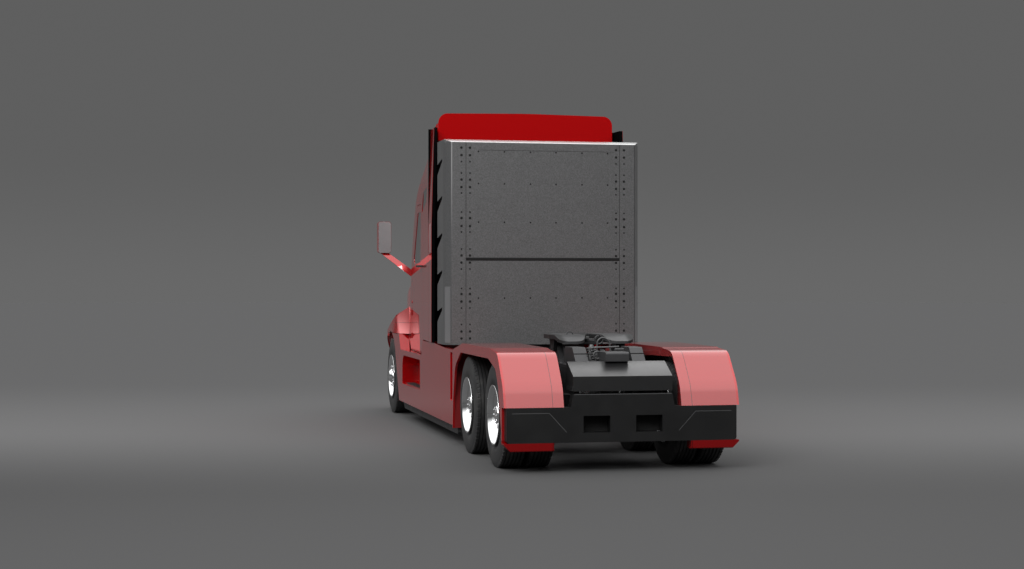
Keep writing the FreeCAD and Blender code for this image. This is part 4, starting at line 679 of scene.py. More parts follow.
def reshaped(node, name, finish, move):
    """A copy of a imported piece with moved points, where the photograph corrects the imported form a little."""
    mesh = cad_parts[node].data.copy()
    mesh.name = name
    points = np.empty(3 * len(mesh.vertices), np.float32)
    mesh.vertices.foreach_get("co", points)
    points = move(points.reshape(-1, 3).astype(float))
    mesh.vertices.foreach_set("co", points.astype(np.float32).ravel())
    made = linked(name, mesh)
    dress(made, finish)
    mounted(made, "root", [node])
    print(name, "reshaped from", node, len(points), "points")


CROWN_LOW, CROWN_HIGH, CROWN_START, CROWN_PULL, CROWN_REACH, CAB_HALF = 2.98, 3.95, 4.762, 0.17, 0.50, 1.13
TAIL_BEND, TAIL_REACH, TAIL_RISE, TAIL_FOOT = 0.330, 0.320, 0.050, 0.800
BUMPER_FLAT, BUMPER_DRAW = 0.820, 0.20


def fuller_tail(points):
    """Rear fenders: the bend behind the tail rises by a smooth hump along the vehicle."""
    station = cad_high.y - points[:, 1]
    hump = np.clip(1 - ((station - TAIL_BEND) / TAIL_REACH) ** 2, 0.0, 1.0) ** 2
    points[:, 2] += TAIL_RISE * hump * (points[:, 2] > TAIL_FOOT)
    return points


def leaning_extenders(points):
    """Side extenders: the upper part leans in evenly with height."""
    points[:, 0] *= 1 - LEAN * np.clip((points[:, 2] - LEAN_LOW) / LEAN_HEIGHT, 0.0, None)
    return points


def drawn_in_ends(points):
    """Front bumper: beyond the flat middle the ends are drawn in, so they stay behind the front wheels."""
    beyond = np.clip(np.abs(points[:, 0]) - BUMPER_FLAT, 0.0, None)
    points[:, 0] -= np.sign(points[:, 0]) * beyond * BUMPER_DRAW
    return points


def narrower_crown(points):
    """Cab and roof: high up, the sides lean in more and more from the back edge forward."""
    station, height = cad_high.y - points[:, 1], points[:, 2]
    share = np.clip((height - CROWN_LOW) / (CROWN_HIGH - CROWN_LOW), 0.0, 1.0)
    forward = np.clip(station - CROWN_START, 0.0, None)
    pull = CROWN_PULL * (1 - np.exp(-forward / CROWN_REACH)) * share**2 * (3 - 2 * share)
    points[:, 0] *= 1 - pull / CAB_HALF
    return points


reshaped("rear_fenders", "rear_fender_skins", "red_paint_rear_fender", fuller_tail)
reshaped("cab_shell", "cab_shell_skin", "red_paint_cab", narrower_crown)
reshaped("roof_cap", "roof_cap_skin", "red_paint_cab", narrower_crown)
reshaped("side_extenders", "side_extender_skins", "red_paint_extender", leaning_extenders)
reshaped("front_bumper", "front_bumper_bar", "red_paint", drawn_in_ends)

packed = {
    "chassis_black": ["frame", "front_axle", "drive_axles", "suspension", "track_rod", "lower_rails"]
    + ["knuckle_left", "knuckle_right"],
    "engine_grey": ["engine_block"],
    "tank_metal": ["fuel_tanks"],
    "bumper_black": ["rear_bumper"],
    "cover_grey": ["tail_cover"],
    "module_metal": ["module_box"],
    "coupling_steel": ["fifth_wheel_base"],
    "coupling_plate_steel": ["fifth_wheel_plate"],
    "black_plastic": ["door_handle_left", "door_handle_right"],
    "dash_plastic": ["dashboard"],
    "window_glass": ["cab_glass", "door_glass_left", "door_glass_right"],
    "mirror_glass": ["mirror_glasses"],
    "lamp_glass": ["headlamps"],
    "grille_chrome": ["grille"],
    "red_paint": ["mirrors", "door_left", "door_right"],
    "red_paint_skirt": ["side_skirts"],
    "red_paint_hood": ["hood_shell"],
}
for finish, nodes in packed.items():
    for node in nodes:
        dress(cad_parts[node], finish)
print("dressed", sum(map(len, packed.values())), "packed pieces")

# %% [markdown]
# ## Tyres
# A tyre is a ring with a bulging side wall. The grooves that run all the way round belong in its profile, so
# turning it makes them. The shoulders also have short cross cuts: the radius of the shoulder points drops
# wherever the angle falls in a cut.

# %% Tyre surface
TYRE_RADIUS, TYRE_HALF_WIDTH, RIM_RADIUS = 0.540, 0.1325, 0.2975
GROOVES, GROOVE_HALF, GROOVE_DEPTH = (0.0, 0.038, 0.077), 0.006, 0.015
TREAD_EDGE, SHOULDER, BEAD = 0.112, 0.016, 0.088
CUTS, CUT_DEPTH = 64, 0.011
CUT_SHARES, IN_CUT = (0.0, 0.03, 0.30, 0.33), (0.0, 1.0, 1.0, 0.0)


def tread_half():
    """Right half of the tread as (x, radius): flat ribs with a trapezoid groove at each groove's place."""
    rows = []
    bottom = TYRE_RADIUS - GROOVE_DEPTH
    for groove in GROOVES:
        low, high = groove - GROOVE_HALF, groove + GROOVE_HALF
        rows += [(low, TYRE_RADIUS), (low + 0.002, bottom), (high - 0.002, bottom), (high, TYRE_RADIUS)]
    return [row for row in rows if row[0] > 0] + [(TREAD_EDGE, TYRE_RADIUS)]


def side_wall():
    """From the shoulder to the bead: a bulge that is widest half way, with three raised rings."""
    t = np.linspace(0.0, 1.0, 19)
    radius = np.linspace(TYRE_RADIUS - SHOULDER, RIM_RADIUS, 19)
    bulge = 0.118 + 0.0115 * np.sin(np.pi * np.clip(t * 1.12, 0, 1)) - 0.020 * np.clip(t - 0.72, 0, 1) / 0.28
    rings = sum(0.0020 * np.exp(-(((t - place) / 0.022) ** 2)) for place in (0.16, 0.62, 0.84))
    return np.stack([bulge + rings, radius], -1)


def tyre(centre_x, centre_y):
    """The profile turned; shoulder points drop by the cut's depth inside each cross cut."""
    half = np.concatenate([tread_half(), side_wall(), [(BEAD, RIM_RADIUS)]])
    profile = np.concatenate([half[::-1] * (-1, 1), half])
    angle = (np.arange(CUTS)[:, None] + CUT_SHARES).ravel() / CUTS * 2 * np.pi
    x, radius = profile[:, :1], profile[:, 1:]
    shoulder = (np.abs(x) > BEAD) & (radius > TYRE_RADIUS - 0.02)
    radius = radius - CUT_DEPTH * shoulder * np.tile(IN_CUT, CUTS)
    points = on_axis(radius * np.cos(angle), radius * np.sin(angle), x + centre_x, "x")
    return surface(points + (0.0, centre_y, TYRE_RADIUS), ring=True)


WHEELS = {
    f"{axle}_{side}": (f"{axle}_tyre{plural}_{side}", f"{axle}_wheel{plural}_{side}")
    for axle, plural in {"front": "", "forward": "s", "rear": "s"}.items()
    for side in SIDES
}
for body, (tyre_node, _) in WHEELS.items():
    low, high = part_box(tyre_node)
    centres = [low.x + TYRE_HALF_WIDTH]
    if high.x - low.x > 3 * TYRE_HALF_WIDTH:
        centres.append(high.x - TYRE_HALF_WIDTH)
    rings = [tyre(x, (low.y + high.y) / 2) for x in centres]
    name = body + ("_tyre" if len(centres) == 1 else "_tyre_pair")
    piece(name, together(*rings), "tyre_rubber", body, replaces=[tyre_node])

# %% [markdown]
# ## Wheels
# Each wheel is a rolled rim and a pressed disc with ten hand holes. The disc is made one tenth at a time:
# rays from the middle of a hole run out to the edges of its wedge, so the grid starts on the round hole and
# ends on the wedge, and ten wedges meet point to point. How far the disc stands out is then a curve of the
# radius alone.

# %% Wheel discs with hand holes
HOLES = 10


def wedge(hole_at, hole_radius, inner, outer, rays=32, rings=5):
    """Polar grid from a round hole to the edges of its wedge: (ring, ray) to radius and angle."""
    half_angle = np.pi / HOLES
    corner = math.atan2(outer - hole_at, half_angle * hole_at)
    foot = math.atan2(hole_at - inner, half_angle * hole_at)
    stops = [-foot, corner, np.pi - corner, np.pi + foot, 2 * np.pi - foot]
    quarter = rays // 4
    ray = np.concatenate([np.linspace(a, b, quarter, endpoint=False) for a, b in zip(stops, stops[1:])])
    across, up = np.cos(ray), np.sin(ray)
    to_side = half_angle * hole_at / np.maximum(np.abs(across), 1e-9)
    to_end = np.where(up > 0, outer - hole_at, hole_at - inner) / np.maximum(np.abs(up), 1e-9)
    edge = np.minimum(to_side, to_end)
    share = np.linspace(0.0, 1.0, rings)[:, None] ** 1.3
    reach = hole_radius + share * (edge - hole_radius)
    return hole_at + reach * up, reach * across / hole_at


def disc(profile, hole_at, hole_radius, thickness, sign, centre):
    """Ten wedges, front and back, joined by the walls of the holes; x follows the profile of the radius."""
    curve = np.array(profile)
    radius, angle = wedge(hole_at, hole_radius, curve[0, 0], curve[-1, 0])
    front = np.interp(radius, curve[:, 0], curve[:, 1])
    out = sign * np.concatenate([front[::-1], front - thickness])
    radius, angle = (np.concatenate([grid[::-1], grid]) for grid in (radius, angle))
    turns = [angle + i * 2 * np.pi / HOLES for i in range(HOLES)]
    wedges = [on_axis(radius * np.sin(turn), radius * np.cos(turn), out, "x") + centre for turn in turns]
    return together(*map(surface, wedges))


def round_places(count, radius, x, centre, turn=0.0):
    """Evenly spaced places on a circle about the axle."""
    angle = (np.arange(count) + turn) * 2 * np.pi / count
    return on_axis(radius * np.sin(angle), radius * np.cos(angle), x, "x") + centre


def facing(shape, sign):
    """Turn a shape made along +X to face the given side."""
    return shape if sign > 0 else mirrored(shape)


# %% [markdown]
# The drive wheels are two rims back to back with a dished disc and a stepped hub. The steered wheels have one
# rim, a disc that bulges outwards and a round cap. Each profile is a list of (x, radius), and the disc's is
# turned round, (radius, x), because how far it stands out is read from the radius.

# %% Wheels, drums and nuts
OUTER_LIP = [(1.198, 0.300), (1.198, 0.313), (1.190, 0.313), (1.190, 0.297)]
KINDS = {
    "drive": {
        "rim": [(1.131, 0.2655), (1.150, 0.270), (1.178, 0.288), *OUTER_LIP, (0.634, 0.297), (0.634, 0.313)]
        + [(0.626, 0.313), (0.626, 0.300), (0.650, 0.283), (1.085, 0.272), (1.113, 0.262)],
        "hub": [(1.083, 0.0), (1.083, 0.118), (1.115, 0.118), (1.119, 0.104), (1.158, 0.096), (1.168, 0.088)]
        + [(1.173, 0.060), (1.173, 0.0)],
        "drum": [(0.676, 0.0), (0.676, 0.200), (0.686, 0.215), (0.940, 0.215), (0.960, 0.160)]
        + [(1.084, 0.150)],
        "disc": [(0.108, 1.107), (0.168, 1.107), (0.182, 1.099), (0.235, 1.099), (0.252, 1.109)]
        + [(0.266, 1.133)],
        "holes": {"hole_at": 0.212, "hole_radius": 0.026, "thickness": 0.016},
        "hub_edge": 0.005,
        "nut_x": 1.106,
    },
    "steer": {
        "rim": [(1.114, 0.2665), (1.150, 0.272), (1.180, 0.290), *OUTER_LIP, (0.925, 0.297), (0.925, 0.313)]
        + [(0.917, 0.313), (0.917, 0.300), (0.940, 0.283), (1.070, 0.272), (1.104, 0.262)],
        "hub": [(1.150, 0.0), (1.150, 0.110), (1.196, 0.104), (1.214, 0.086), (1.232, 0.070), (1.240, 0.040)]
        + [(1.240, 0.0)],
        "drum": [(0.985, 0.0), (0.985, 0.150), (1.00, 0.190), (1.090, 0.190), (1.120, 0.150)],
        "disc": [(0.106, 1.168), (0.172, 1.168), (0.190, 1.160), (0.240, 1.124), (0.256, 1.112)]
        + [(0.267, 1.114)],
        "holes": {"hole_at": 0.218, "hole_radius": 0.024, "thickness": 0.014},
        "hub_edge": 0.008,
        "nut_x": 1.167,
    },
}
RIM_EDGE, NUT_CIRCLE, HUB_CIRCLE, HUB_FACE = 0.006, 0.1425, 0.074, 1.170
stud = turned([(0.0, 0.0), (0.0, 0.0085), (0.034, 0.0085), (0.036, 0.0)], 12)
nut = together(hexagon_head(0.0165, 0.024, "x"), stud)
bolt = hexagon_head(0.010, 0.010, "x")
for body, (_, wheel_node) in WHEELS.items():
    axle, side = body.split("_")
    sign, kind = SIDES[side], KINDS["steer" if axle == "front" else "drive"]
    low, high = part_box(wheel_node)
    centre = (0.0, (low.y + high.y) / 2, TYRE_RADIUS)
    rim = turned(softened(kind["rim"], RIM_EDGE) * (sign, 1), 96, "x", centre)
    hub = turned(softened(kind["hub"], kind["hub_edge"]) * (sign, 1), 48, "x", centre)
    plate = disc(kind["disc"], **kind["holes"], sign=sign, centre=centre)
    piece(body + "_wheel", together(rim, plate, hub), "wheel_chrome", body, replaces=[wheel_node])
    drum = turned(np.array(kind["drum"]) * (sign, 1), 48, "x", centre)
    piece(body + "_drum", drum, "chassis_black", body)
    nuts = repeated(facing(nut, sign), round_places(HOLES, NUT_CIRCLE, sign * kind["nut_x"], centre, 0.5))
    if axle != "front":
        bolts = repeated(facing(bolt, sign), round_places(8, HUB_CIRCLE, sign * HUB_FACE, centre))
        nuts = together(nuts, bolts)
    piece(body + "_nuts", nuts, "nut_steel", body)

# %% [markdown]
# ## The module's sheet
# The grey module is riveted sheet: big and small round heads in two columns at each side and in four rows
# across, a dark band, and two folded seams from top to bottom. One low dome, copied to every place in one
# array, makes all the heads of a size.

# %% Rivets, seams and band
MODULE_BACK, HALF_WIDTH = 3.555, 1.211
RIVET_BIG = [3.534, 3.444, 3.15, 3.06, 2.688, 2.592, 2.238, 2.154, 1.776, 1.686, 1.326, 1.242]
RIVET_SMALL = [3.366, 3.228, 2.988, 2.76, 2.52, 2.316, 2.076, 1.842, 1.608, 1.41]
RIVET_COLUMNS = [0.194, 0.298, 2.114, 2.215]
RIVET_ROWS = [3.49, 3.105, 2.64, 1.727]
RIVET_ACROSS = [0.402, 0.721, 1.043, 1.36, 1.685, 2.007]


def dome(radius, height):
    """Rivet head: radius shrinks as a cosine while the height grows as a sine."""
    t = np.linspace(0.0, np.pi / 2, 4)
    profile = np.stack([height * np.sin(t), radius * np.cos(t)], -1)
    return turned(np.concatenate([[(0.0, 0.0)], profile]), 10, "y")


def behind_module(across, heights):
    """Every pairing of a distance from the photograph's left edge and a height, on the module's back."""
    u, z = np.meshgrid(across, heights)
    return np.stack([HALF_WIDTH - u, np.full(u.shape, at(MODULE_BACK)), z], -1).reshape(-1, 3)


small = dome(0.0105, 0.0035)
heads = together(
    repeated(dome(0.0155, 0.005), behind_module(RIVET_COLUMNS, RIVET_BIG)),
    repeated(small, behind_module(RIVET_COLUMNS, RIVET_SMALL)),
    repeated(small, behind_module(RIVET_ACROSS, RIVET_ROWS)),
)
piece("module_rivets", heads, "flat_black_and_shade", "root")


def strip(near, far, foot, top, out=0.0015, into=0.0, radius=0.0007, steps=1):
    """Thin box on the module's back between two distances from its left edge and two heights."""
    low = (HALF_WIDTH - far, at(MODULE_BACK) - into, foot)
    return rounded_box(low, (HALF_WIDTH - near, at(MODULE_BACK) + out, top), radius, steps)


seams = [strip(u - 0.003, u + 0.003, 1.170, 3.596) for u in (0.249, 2.158)]
seams.append(strip(0.42, 2.10, 3.506, 3.510))
piece("module_seams", together(*seams), "seam_black", "root")
band = strip(0.252, 2.155, 2.178, 2.214, 0.004, 0.002, 0.0015, 3)
piece("module_band", band, "flat_black_and_shade", "root")

# %% [markdown]
# ## Fifth wheel fittings
# Under the coupling plate sit the locking jaws, a pull rod that ends in a ring for the driver's hand, and on
# the base two coil springs and a few bolted blocks. The rod and the jaws tip with the plate, the rest stays.

# %% Coupling fittings


def helix(x, station, radius, top, wire):
    """Coil spring on the deck: the angle grows evenly while the height rises to the top."""
    t = np.linspace(0.0, 1.0, int(COILS * 18) + 1)
    angle = 2 * np.pi * COILS * t
    path = np.stack([radius * np.cos(angle), radius * np.sin(angle), DECK_Z + (top - DECK_Z) * t], -1)
    return tube(path + (x, at(station), 0.0), wire, 8)


def ring_path(x, station, z, radius, turn=2 * np.pi):
    """Part of an upright circle that stands across the vehicle."""
    angle = np.linspace(0.0, turn, 28)
    return on_axis(radius * np.cos(angle), radius * np.sin(angle), 0.0, "y") + (x, at(station), z)


def post(x, station, foot, *rings, columns=20):
    """Upright turned part on a foot, closed at both ends; the rings are (height, radius)."""
    profile = [(foot, 0.0), (foot, rings[0][1]), *rings, (rings[-1][0], 0.0)]
    return turned(profile, columns, "z", (x, at(station), 0.0))


def block(x0, x1, s0, s1, z0, z1, radius=0.004):
    """Rounded box between two distances across, two stations and two heights."""
    return rounded_box((x0, at(s1), z0), (x1, at(s0), z1), radius)


def bent(corners, cut, steps):
    """A softened line through corners of distance across, station and height."""
    return softened([(x, at(s), z) for x, s, z in corners], cut, steps)


JAW_Z, DECK_Z, COILS = 1.302, 1.0555, 6.5
handle = np.linspace((0.055, at(1.36), JAW_Z - 0.022), (0.030, at(1.02), JAW_Z - 0.014), 8)
plate_parts = [
    tube(np.concatenate([handle, ring_path(-0.012, 1.005, JAW_Z, 0.044, 1.9 * np.pi)]), 0.0075),
    tube(ring_path(0.220, 1.36, 1.345, 0.034), 0.006),
    block(-0.135, 0.135, 1.305, 1.365, JAW_Z - 0.062, JAW_Z - 0.002),
    block(-0.145, -0.095, 1.25, 1.300, JAW_Z - 0.030, JAW_Z + 0.010),
    *[block(x - 0.012, x + 0.012, 1.20, 1.78, 1.262, JAW_Z, 0.003) for x in (-0.29, -0.19, 0.19, 0.29)],
]
piece("coupling_jaws", together(*plate_parts), "coupling_steel", "coupling_plate")
catch = block(0.030, 0.088, 1.255, 1.300, JAW_Z - 0.004, JAW_Z + 0.026)
piece("coupling_catch", catch, "coupling_light", "coupling_plate")

spring, small_spring, valve = (0.150, 0.70), (0.048, 0.66), (0.205, 0.545)
hose = bent([(0.15, 0.70, 1.20), (0.150, 0.62, 1.235), (0.02, 0.60, 1.236), (-0.12, 0.60, 1.242)], 0.05, 6)
arch_corners = [(0.055, 1.10), (0.045, 1.30), (-0.010, 1.335), (-0.085, 1.30), (-0.105, 1.10)]
base_parts = [
    helix(*spring, 0.046, 1.236, 0.0085),
    post(*spring, DECK_Z, (1.232, 0.030), (1.262, 0.018)),
    helix(*small_spring, 0.030, 1.20, 0.0065),
    post(*small_spring, DECK_Z, (1.215, 0.020)),
    post(*valve, DECK_Z, (1.232, 0.012), (1.246, 0.007), columns=16),
    *[post(*valve, z, (z + 0.018, 0.022), columns=6) for z in (1.06, 1.11, 1.17, 1.215)],
    tube(ring_path(0.140, 0.50, 1.160, 0.038), 0.008),
    block(-0.20, 0.0, 0.60, 0.82, DECK_Z, 1.185, 0.012),
    block(-0.165, -0.070, 0.56, 0.60, 1.205, 1.226, 0.004),
    block(-0.19, 0.21, 0.86, 0.93, DECK_Z, 1.165, 0.008),
    tube(bent([(x, 0.85, z) for x, z in arch_corners], 0.07, 7), 0.0085),
    tube(hose, 0.009),
]
bolt_places = [(x, at(s), DECK_Z) for x in (0.215, 0.408) for s in (0.40, 0.55, 0.80, 0.97)]
base_parts.append(both(repeated(hexagon_head(0.013, 0.011, "z"), bolt_places)))
piece("coupling_springs", together(*base_parts), "coupling_light", "root")

# %% [markdown]
# ## Small fittings of the body
# A thin plate is let into the low end of each of the module's bevels, a red latch holds the hood beside each
# front pillar, and rows of small bars make the steps rough under a boot.

# %% Bevel plates, hood latches and steps
BEVEL = np.array([(1.138, 3.555), (1.211, 3.675)])
BEVEL_PLATE, STEP_TOP = 0.002, 0.5115
LATCH_X, KNOB_X, LATCH_STATION = 1.079, 1.072, 7.05


def bevel_plate():
    """Plan outline of the plate: the middle of the bevel's line, and the same moved out by the thickness."""
    along = BEVEL[1] - BEVEL[0]
    out = np.array((along[1], -along[0])) / np.hypot(*along) * BEVEL_PLATE
    ends = [BEVEL[0] + along * share for share in (0.14, 0.86)]
    outline = [(x, at(s)) for x, s in (*ends, *(end + out for end in reversed(ends)))]
    return drawn(outline, 1.190, 1.865, "z", 0.0004)


# Painted shade: a flat black plate behind the rear bumper's holes stands for the shade inside them.
pocket = rounded_box((-0.72, at(0.150), 0.40), (0.72, at(0.140), 0.640), 0.003, 1)
piece("bumper_pocket_shade", pocket, "flat_black_and_shade", "root")
piece("module_bevel_plates", both(bevel_plate()), "bevel_plate", "root")
stem = [(1.60, 0.011), (1.62, 0.010), (1.635, 0.021), (1.655, 0.021), (1.672, 0.012), (1.676, 0.0)]
knob = [(-0.019, 0.0), (-0.013, 0.013), (0.0, 0.018), (0.013, 0.013), (0.019, 0.0)]
latch = [
    turned([(1.545, 0.0), (1.545, 0.016), *stem], 20, "z", (LATCH_X, at(LATCH_STATION), 0.0)),
    turned(knob, 20, "z", (KNOB_X, at(LATCH_STATION), 1.453)),
]
piece("hood_latches", both(together(*latch)), "red_paint", "root")
bar = rounded_box((-0.055, -0.006, 0.0), (0.055, 0.006, 0.006), 0.0025, 1)
step_places = [(1.112, at(s), STEP_TOP) for s in np.arange(5.66, 7.09, 0.045)]
piece("step_bars", both(repeated(bar, step_places)), "chassis_black", "root")

# %% [markdown]
# ## Seats and bunk
# Behind the tinted glass are two sprung seats and a bunk. A pad is a row of rounded sections: the curve
# |a|^n + |b|^n = 1, walked in even steps, draws the section and also says how the sections shrink at both
# ends. Then the top rises as a crown, the sides pull in between the corners, and every sewn channel sinks as
# a narrow bell curve.

# %% Padded surfaces
ROUNDNESS = 5.0
CHANNEL_DEPTH, CHANNEL_HALF = 0.009, 0.05


def superellipse(turn, steps):
    """Even steps along |a|^n + |b|^n = 1, through a turn that is centred on the a axis."""
    angle = np.linspace(-turn / 2, turn / 2, 40 * steps)
    curve = [np.sign(part) * np.abs(part) ** (2 / ROUNDNESS) for part in (np.cos(angle), np.sin(angle))]
    length = np.concatenate([[0.0], np.cumsum(np.hypot(*[np.diff(part) for part in curve]))])
    even = np.linspace(0.0, length[-1], steps + 1)
    return [np.interp(even, length, part) for part in curve]


def pad(width, length, height, channels=(), crown=0.014, tuck=0.02):
    """A pad that lies on its underside: x across, y along and z up, each from -1 to 1 before it is scaled."""
    across, up = [part[:-1] for part in superellipse(2 * np.pi, 72)]
    scale, along = superellipse(np.pi, 44)
    x, z = scale[:, None] * across, scale[:, None] * up
    y = along[:, None] + 0 * x
    rise = crown * (1 - x**2) * (1 - y**2)
    for channel in channels:
        rise = rise - CHANNEL_DEPTH * np.exp(-(((x - channel) / CHANNEL_HALF) ** 2)) * (1 - y**4)
    points = (
        x * width / 2 * (1 - tuck * (1 - y**2)),
        y * length / 2 * (1 - tuck * (1 - x**2)),
        (z + 1) / 2 * (height - crown) + rise * np.clip(z, 0.0, 1.0),
    )
    return surface(np.stack(points, -1))


def leaned(shape, place, angle=0.0):
    """Turn a shape about the X axis, then move it to its place."""
    x, y, z = shape[0].T
    y, z = y * np.cos(angle) - z * np.sin(angle), y * np.sin(angle) + z * np.cos(angle)
    return np.stack([x, y, z], -1) + place, shape[1]


# %% Seats and bunk
SEAT_X, CUSHION_Z, POST_TOP = 0.520, 1.580, 1.36
BACK_FOOT, BACK_HEAD = np.array((6.060, 1.580)), np.array((5.930, 2.420))
BUNK_TOP, MATTRESS, BUNK_DEPTH = 1.820, 0.170, 0.760
cab_low, cab_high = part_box("cab_seats")
upright = math.pi / 2 - math.atan2(BACK_FOOT[0] - BACK_HEAD[0], BACK_HEAD[1] - BACK_FOOT[1])


def on_back(share):
    """A point of the backrest's rear line, from its foot to its head."""
    station, z = BACK_FOOT + (BACK_HEAD - BACK_FOOT) * share
    return SEAT_X, at(station), z


mattress = pad(cab_high.x - cab_low.x, BUNK_DEPTH, MATTRESS, np.linspace(-0.8, 0.8, 5))
pads = {
    "seat_cushions": both(leaned(pad(0.520, 0.505, 0.120, (-0.55, 0.55)), (SEAT_X, at(6.325), CUSHION_Z))),
    "seat_backs": both(leaned(pad(0.520, 0.545, 0.115, (-0.5, 0.0, 0.5)), on_back(0.475), upright)),
    "head_rests": both(leaned(pad(0.300, 0.170, 0.100), on_back(0.895), upright)),
    "bunk_mattress": leaned(mattress, (0.0, cab_high.y - BUNK_DEPTH / 2, BUNK_TOP - MATTRESS)),
}
for name, shape in pads.items():
    piece(name, shape, "seat_fabric", "root", replaces=["cab_seats"], sharp=80.0)
folds = POST_TOP + 0.036 * np.arange(5)
stand = [
    block(SEAT_X - 0.15, SEAT_X + 0.15, 6.20, 6.44, cab_low.z, POST_TOP, 0.02),
    block(SEAT_X - 0.20, SEAT_X + 0.20, 6.12, 6.52, 1.54, CUSHION_Z, 0.01),
    *[block(SEAT_X - 0.13, SEAT_X + 0.13, 6.22, 6.42, z, z + 0.03, 0.012) for z in folds],
    block(SEAT_X - 0.25, SEAT_X - 0.225, 6.17, 6.44, 1.78, 1.83, 0.012),
]
bunk_low = (cab_low.x, cab_high.y - BUNK_DEPTH, cab_low.z)
bunk_base = rounded_box(bunk_low, (cab_high.x, cab_high.y, BUNK_TOP - MATTRESS), 0.02)
stands = together(both(together(*stand)), bunk_base)
piece("seat_stands", stands, "dash_plastic", "root", ["cab_seats"])

# %% [markdown]
# ## The front
# The photograph shows the tractor from behind, so the front stays plain: two bowls behind each lamp glass, a
# dark core behind the grille, mesh in the bumper's intake and a pair of wipers. Rays cast at the packed
# pieces say how far back the glass stands.

# %% Lamp bowls, grille core, intake and wipers


def front_of(node, x, z):
    """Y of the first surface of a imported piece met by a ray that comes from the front."""
    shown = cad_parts[node]
    hit, place, _, _ = shown.ray_cast(Vector((x, -20.0, z)), Vector((0.0, 1.0, 0.0)))
    if not hit:
        raise ValueError(f"no surface of {node} at {x}, {z}")
    return place.y


def lamp_bowl(x, z, radius, depth=0.07):
    """Reflector: a parabola turned about Y, with a thin wall and a bulb on its axis."""
    t = np.linspace(0.0, 1.0, 12)
    y = front_of("headlamps", x, z) + 0.05
    inner = np.stack([y + depth * (1 - t**2), radius * t], -1)
    outer = (inner + (0.004, 0.0))[::-1]
    outer[:, 1] = (radius + 0.004) * t[::-1]
    bowl = turned(np.concatenate([inner, outer]), 40, "y", (x, 0.0, z))
    bulb = [(y + depth, 0.0), (y + depth, 0.010), (y + 0.02, 0.010), (y + 0.012, 0.0)]
    return together(bowl, turned(bulb, 16, "y", (x, 0.0, z)))


bowls = together(lamp_bowl(0.850, 0.905, 0.078), lamp_bowl(1.025, 0.905, 0.072))
piece("lamp_bowls", both(bowls), "grille_chrome", "hood")
low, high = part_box("grille")
core = rounded_box((-0.500, high.y + 0.004, low.z + 0.01), (0.500, high.y + 0.010, high.z - 0.01), 0.002, 1)
piece("grille_core", core, "dark_mesh", "hood")
intake = rounded_box((-0.345, at(9.440), 0.335), (0.345, at(9.434), 0.465), 0.002, 1)
piece("bumper_mesh", intake, "dark_mesh", "root")


def wiper(start, end, low=2.10, high=2.15):
    """Arm and blade laid along the windscreen, a little in front of it."""
    places = zip(np.linspace(start, end, 9), np.linspace(low, high, 9))
    blade = [(x, front_of("cab_glass", x, z) - 0.016, z) for x, z in places]
    x, y, z = blade[4]
    foot = (start - 0.02, front_of("cab_glass", start, low) - 0.024, low - 0.02)
    return together(tube(blade, 0.007, 8), tube(np.linspace(foot, (x, y - 0.006, z), 6), 0.006, 8))


piece("wipers", together(wiper(0.08, 0.62), wiper(-0.60, -0.06)), "black_plastic", "root")

# %% [markdown]
# ## Camera
# The photograph looks at the tractor from behind, a little to its left, from near eye height. A long lens far
# away keeps the body's edges almost parallel.

# %% Camera
camera = linked("camera", bpy.data.cameras.new("camera"))
camera.data.lens = 59.66
camera.data.clip_end = 400.0
camera.location = (4.617, 21.25, 1.89)
camera.rotation_euler = Vector((-0.2059, -0.9786, 0.0)).to_track_quat("-Z", "Y").to_euler()
bpy.context.scene.camera = camera

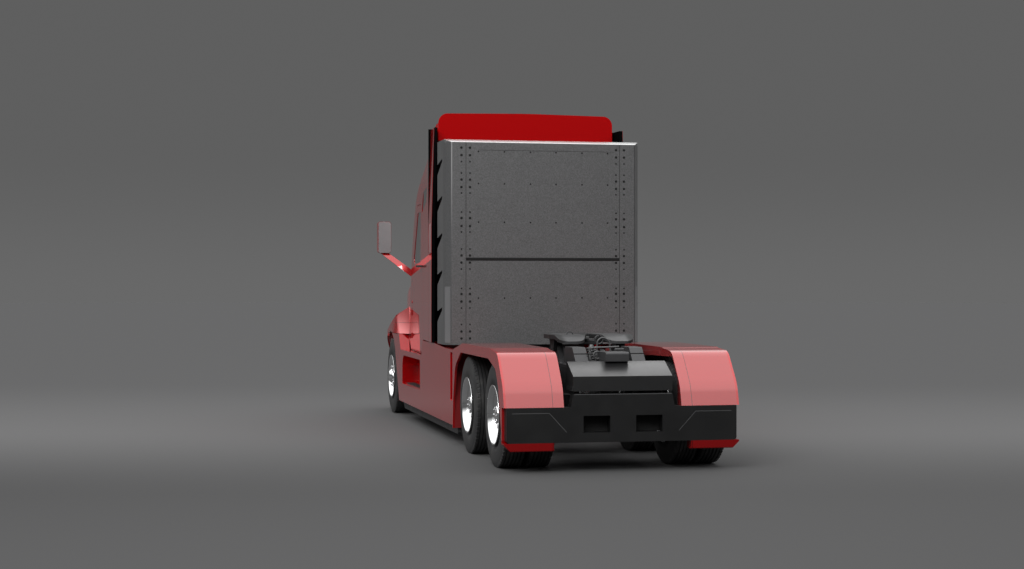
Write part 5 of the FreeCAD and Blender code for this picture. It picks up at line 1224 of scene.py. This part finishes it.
# %% [markdown]
# ## Floor and light
# A studio with a bright ceiling and dim walls: the world's strength follows the height of the direction, so
# faces that lean up mirror the ceiling and turn pale, while upright sides mirror the walls, which fade a
# little upwards. The floor's colour is painted light and shade: it is darkest in the foreground, darker on
# the left than on the right to even out the lamp's pool of light, a soft pale band of painted light lies
# across it, and beyond the band it goes on in a grey that meets the walls.

# %% Floor, lamps and world
# Painted light and shade on the floor: darker on the left to even out the lamp's pool of light, a band of
# painted light, and an even grey beyond.
NEAR_LEFT = (0.059, 0.059, 0.0595, 1.0)
NEAR_RIGHT = (0.072, 0.072, 0.0725, 1.0)
GLOW_BAND = (0.1235, 0.1235, 0.1245, 1.0)
BEYOND = (0.0965, 0.0965, 0.0975)
WALL_FOOT, WALL_GREY, CEILING = 0.138, 0.1135, 1.7
turn = np.linspace(0.0, 2 * np.pi, 97)[:-1]
spread = np.array([160.0, 40.0, 14.0, 6.0, 0.0])[:, None]
floor_finish = Finish("floor", BEYOND, roughness=0.9, specular_ior_level=0.0)
across, along, _ = floor_finish.axes()
back = across * 0.206 + along * 0.979
near = floor_finish.mix(NEAR_RIGHT, NEAR_LEFT, across.step(-4.0, 8.0))
close = floor_finish.mix(GLOW_BAND, near, back.step(-0.25, 6.75))
floor_finish.set("Base Color", floor_finish.mix((*BEYOND, 1.0), close, back.step(-11.25, 0.75)))
floor_shape = surface(on_axis(spread * np.cos(turn), spread * np.sin(turn), 0.0, "z"))
floor = solid("floor", floor_shape, finishes["floor"])

light = bpy.data.lights.new("behind_left", "AREA")
light.shape = "RECTANGLE"
light.size, light.size_y = 8.0, 4.0
light.energy = 950.0
lamp = linked("behind_left", light)
lamp.location = (7.0, 13.0, 9.0)
lamp.rotation_euler = (Vector((0.0, 1.0, 1.5)) - lamp.location).to_track_quat("-Z", "Y").to_euler()

world = bpy.data.worlds.new("studio")
bpy.context.scene.world = world
world.use_nodes = True
sky = Nodes(world.node_tree)
height = sky.axes("Generated")[2]
background = sky.tree.nodes["Background"]
background.inputs["Color"].default_value = (1.0, 1.0, 1.0, 1.0)
wall = height.step(-0.01, 0.08, WALL_FOOT, WALL_GREY)
sky.feed(background.inputs["Strength"], height.step(0.165, 0.62, wall, CEILING))
bpy.context.scene.view_settings.view_transform = "Standard"
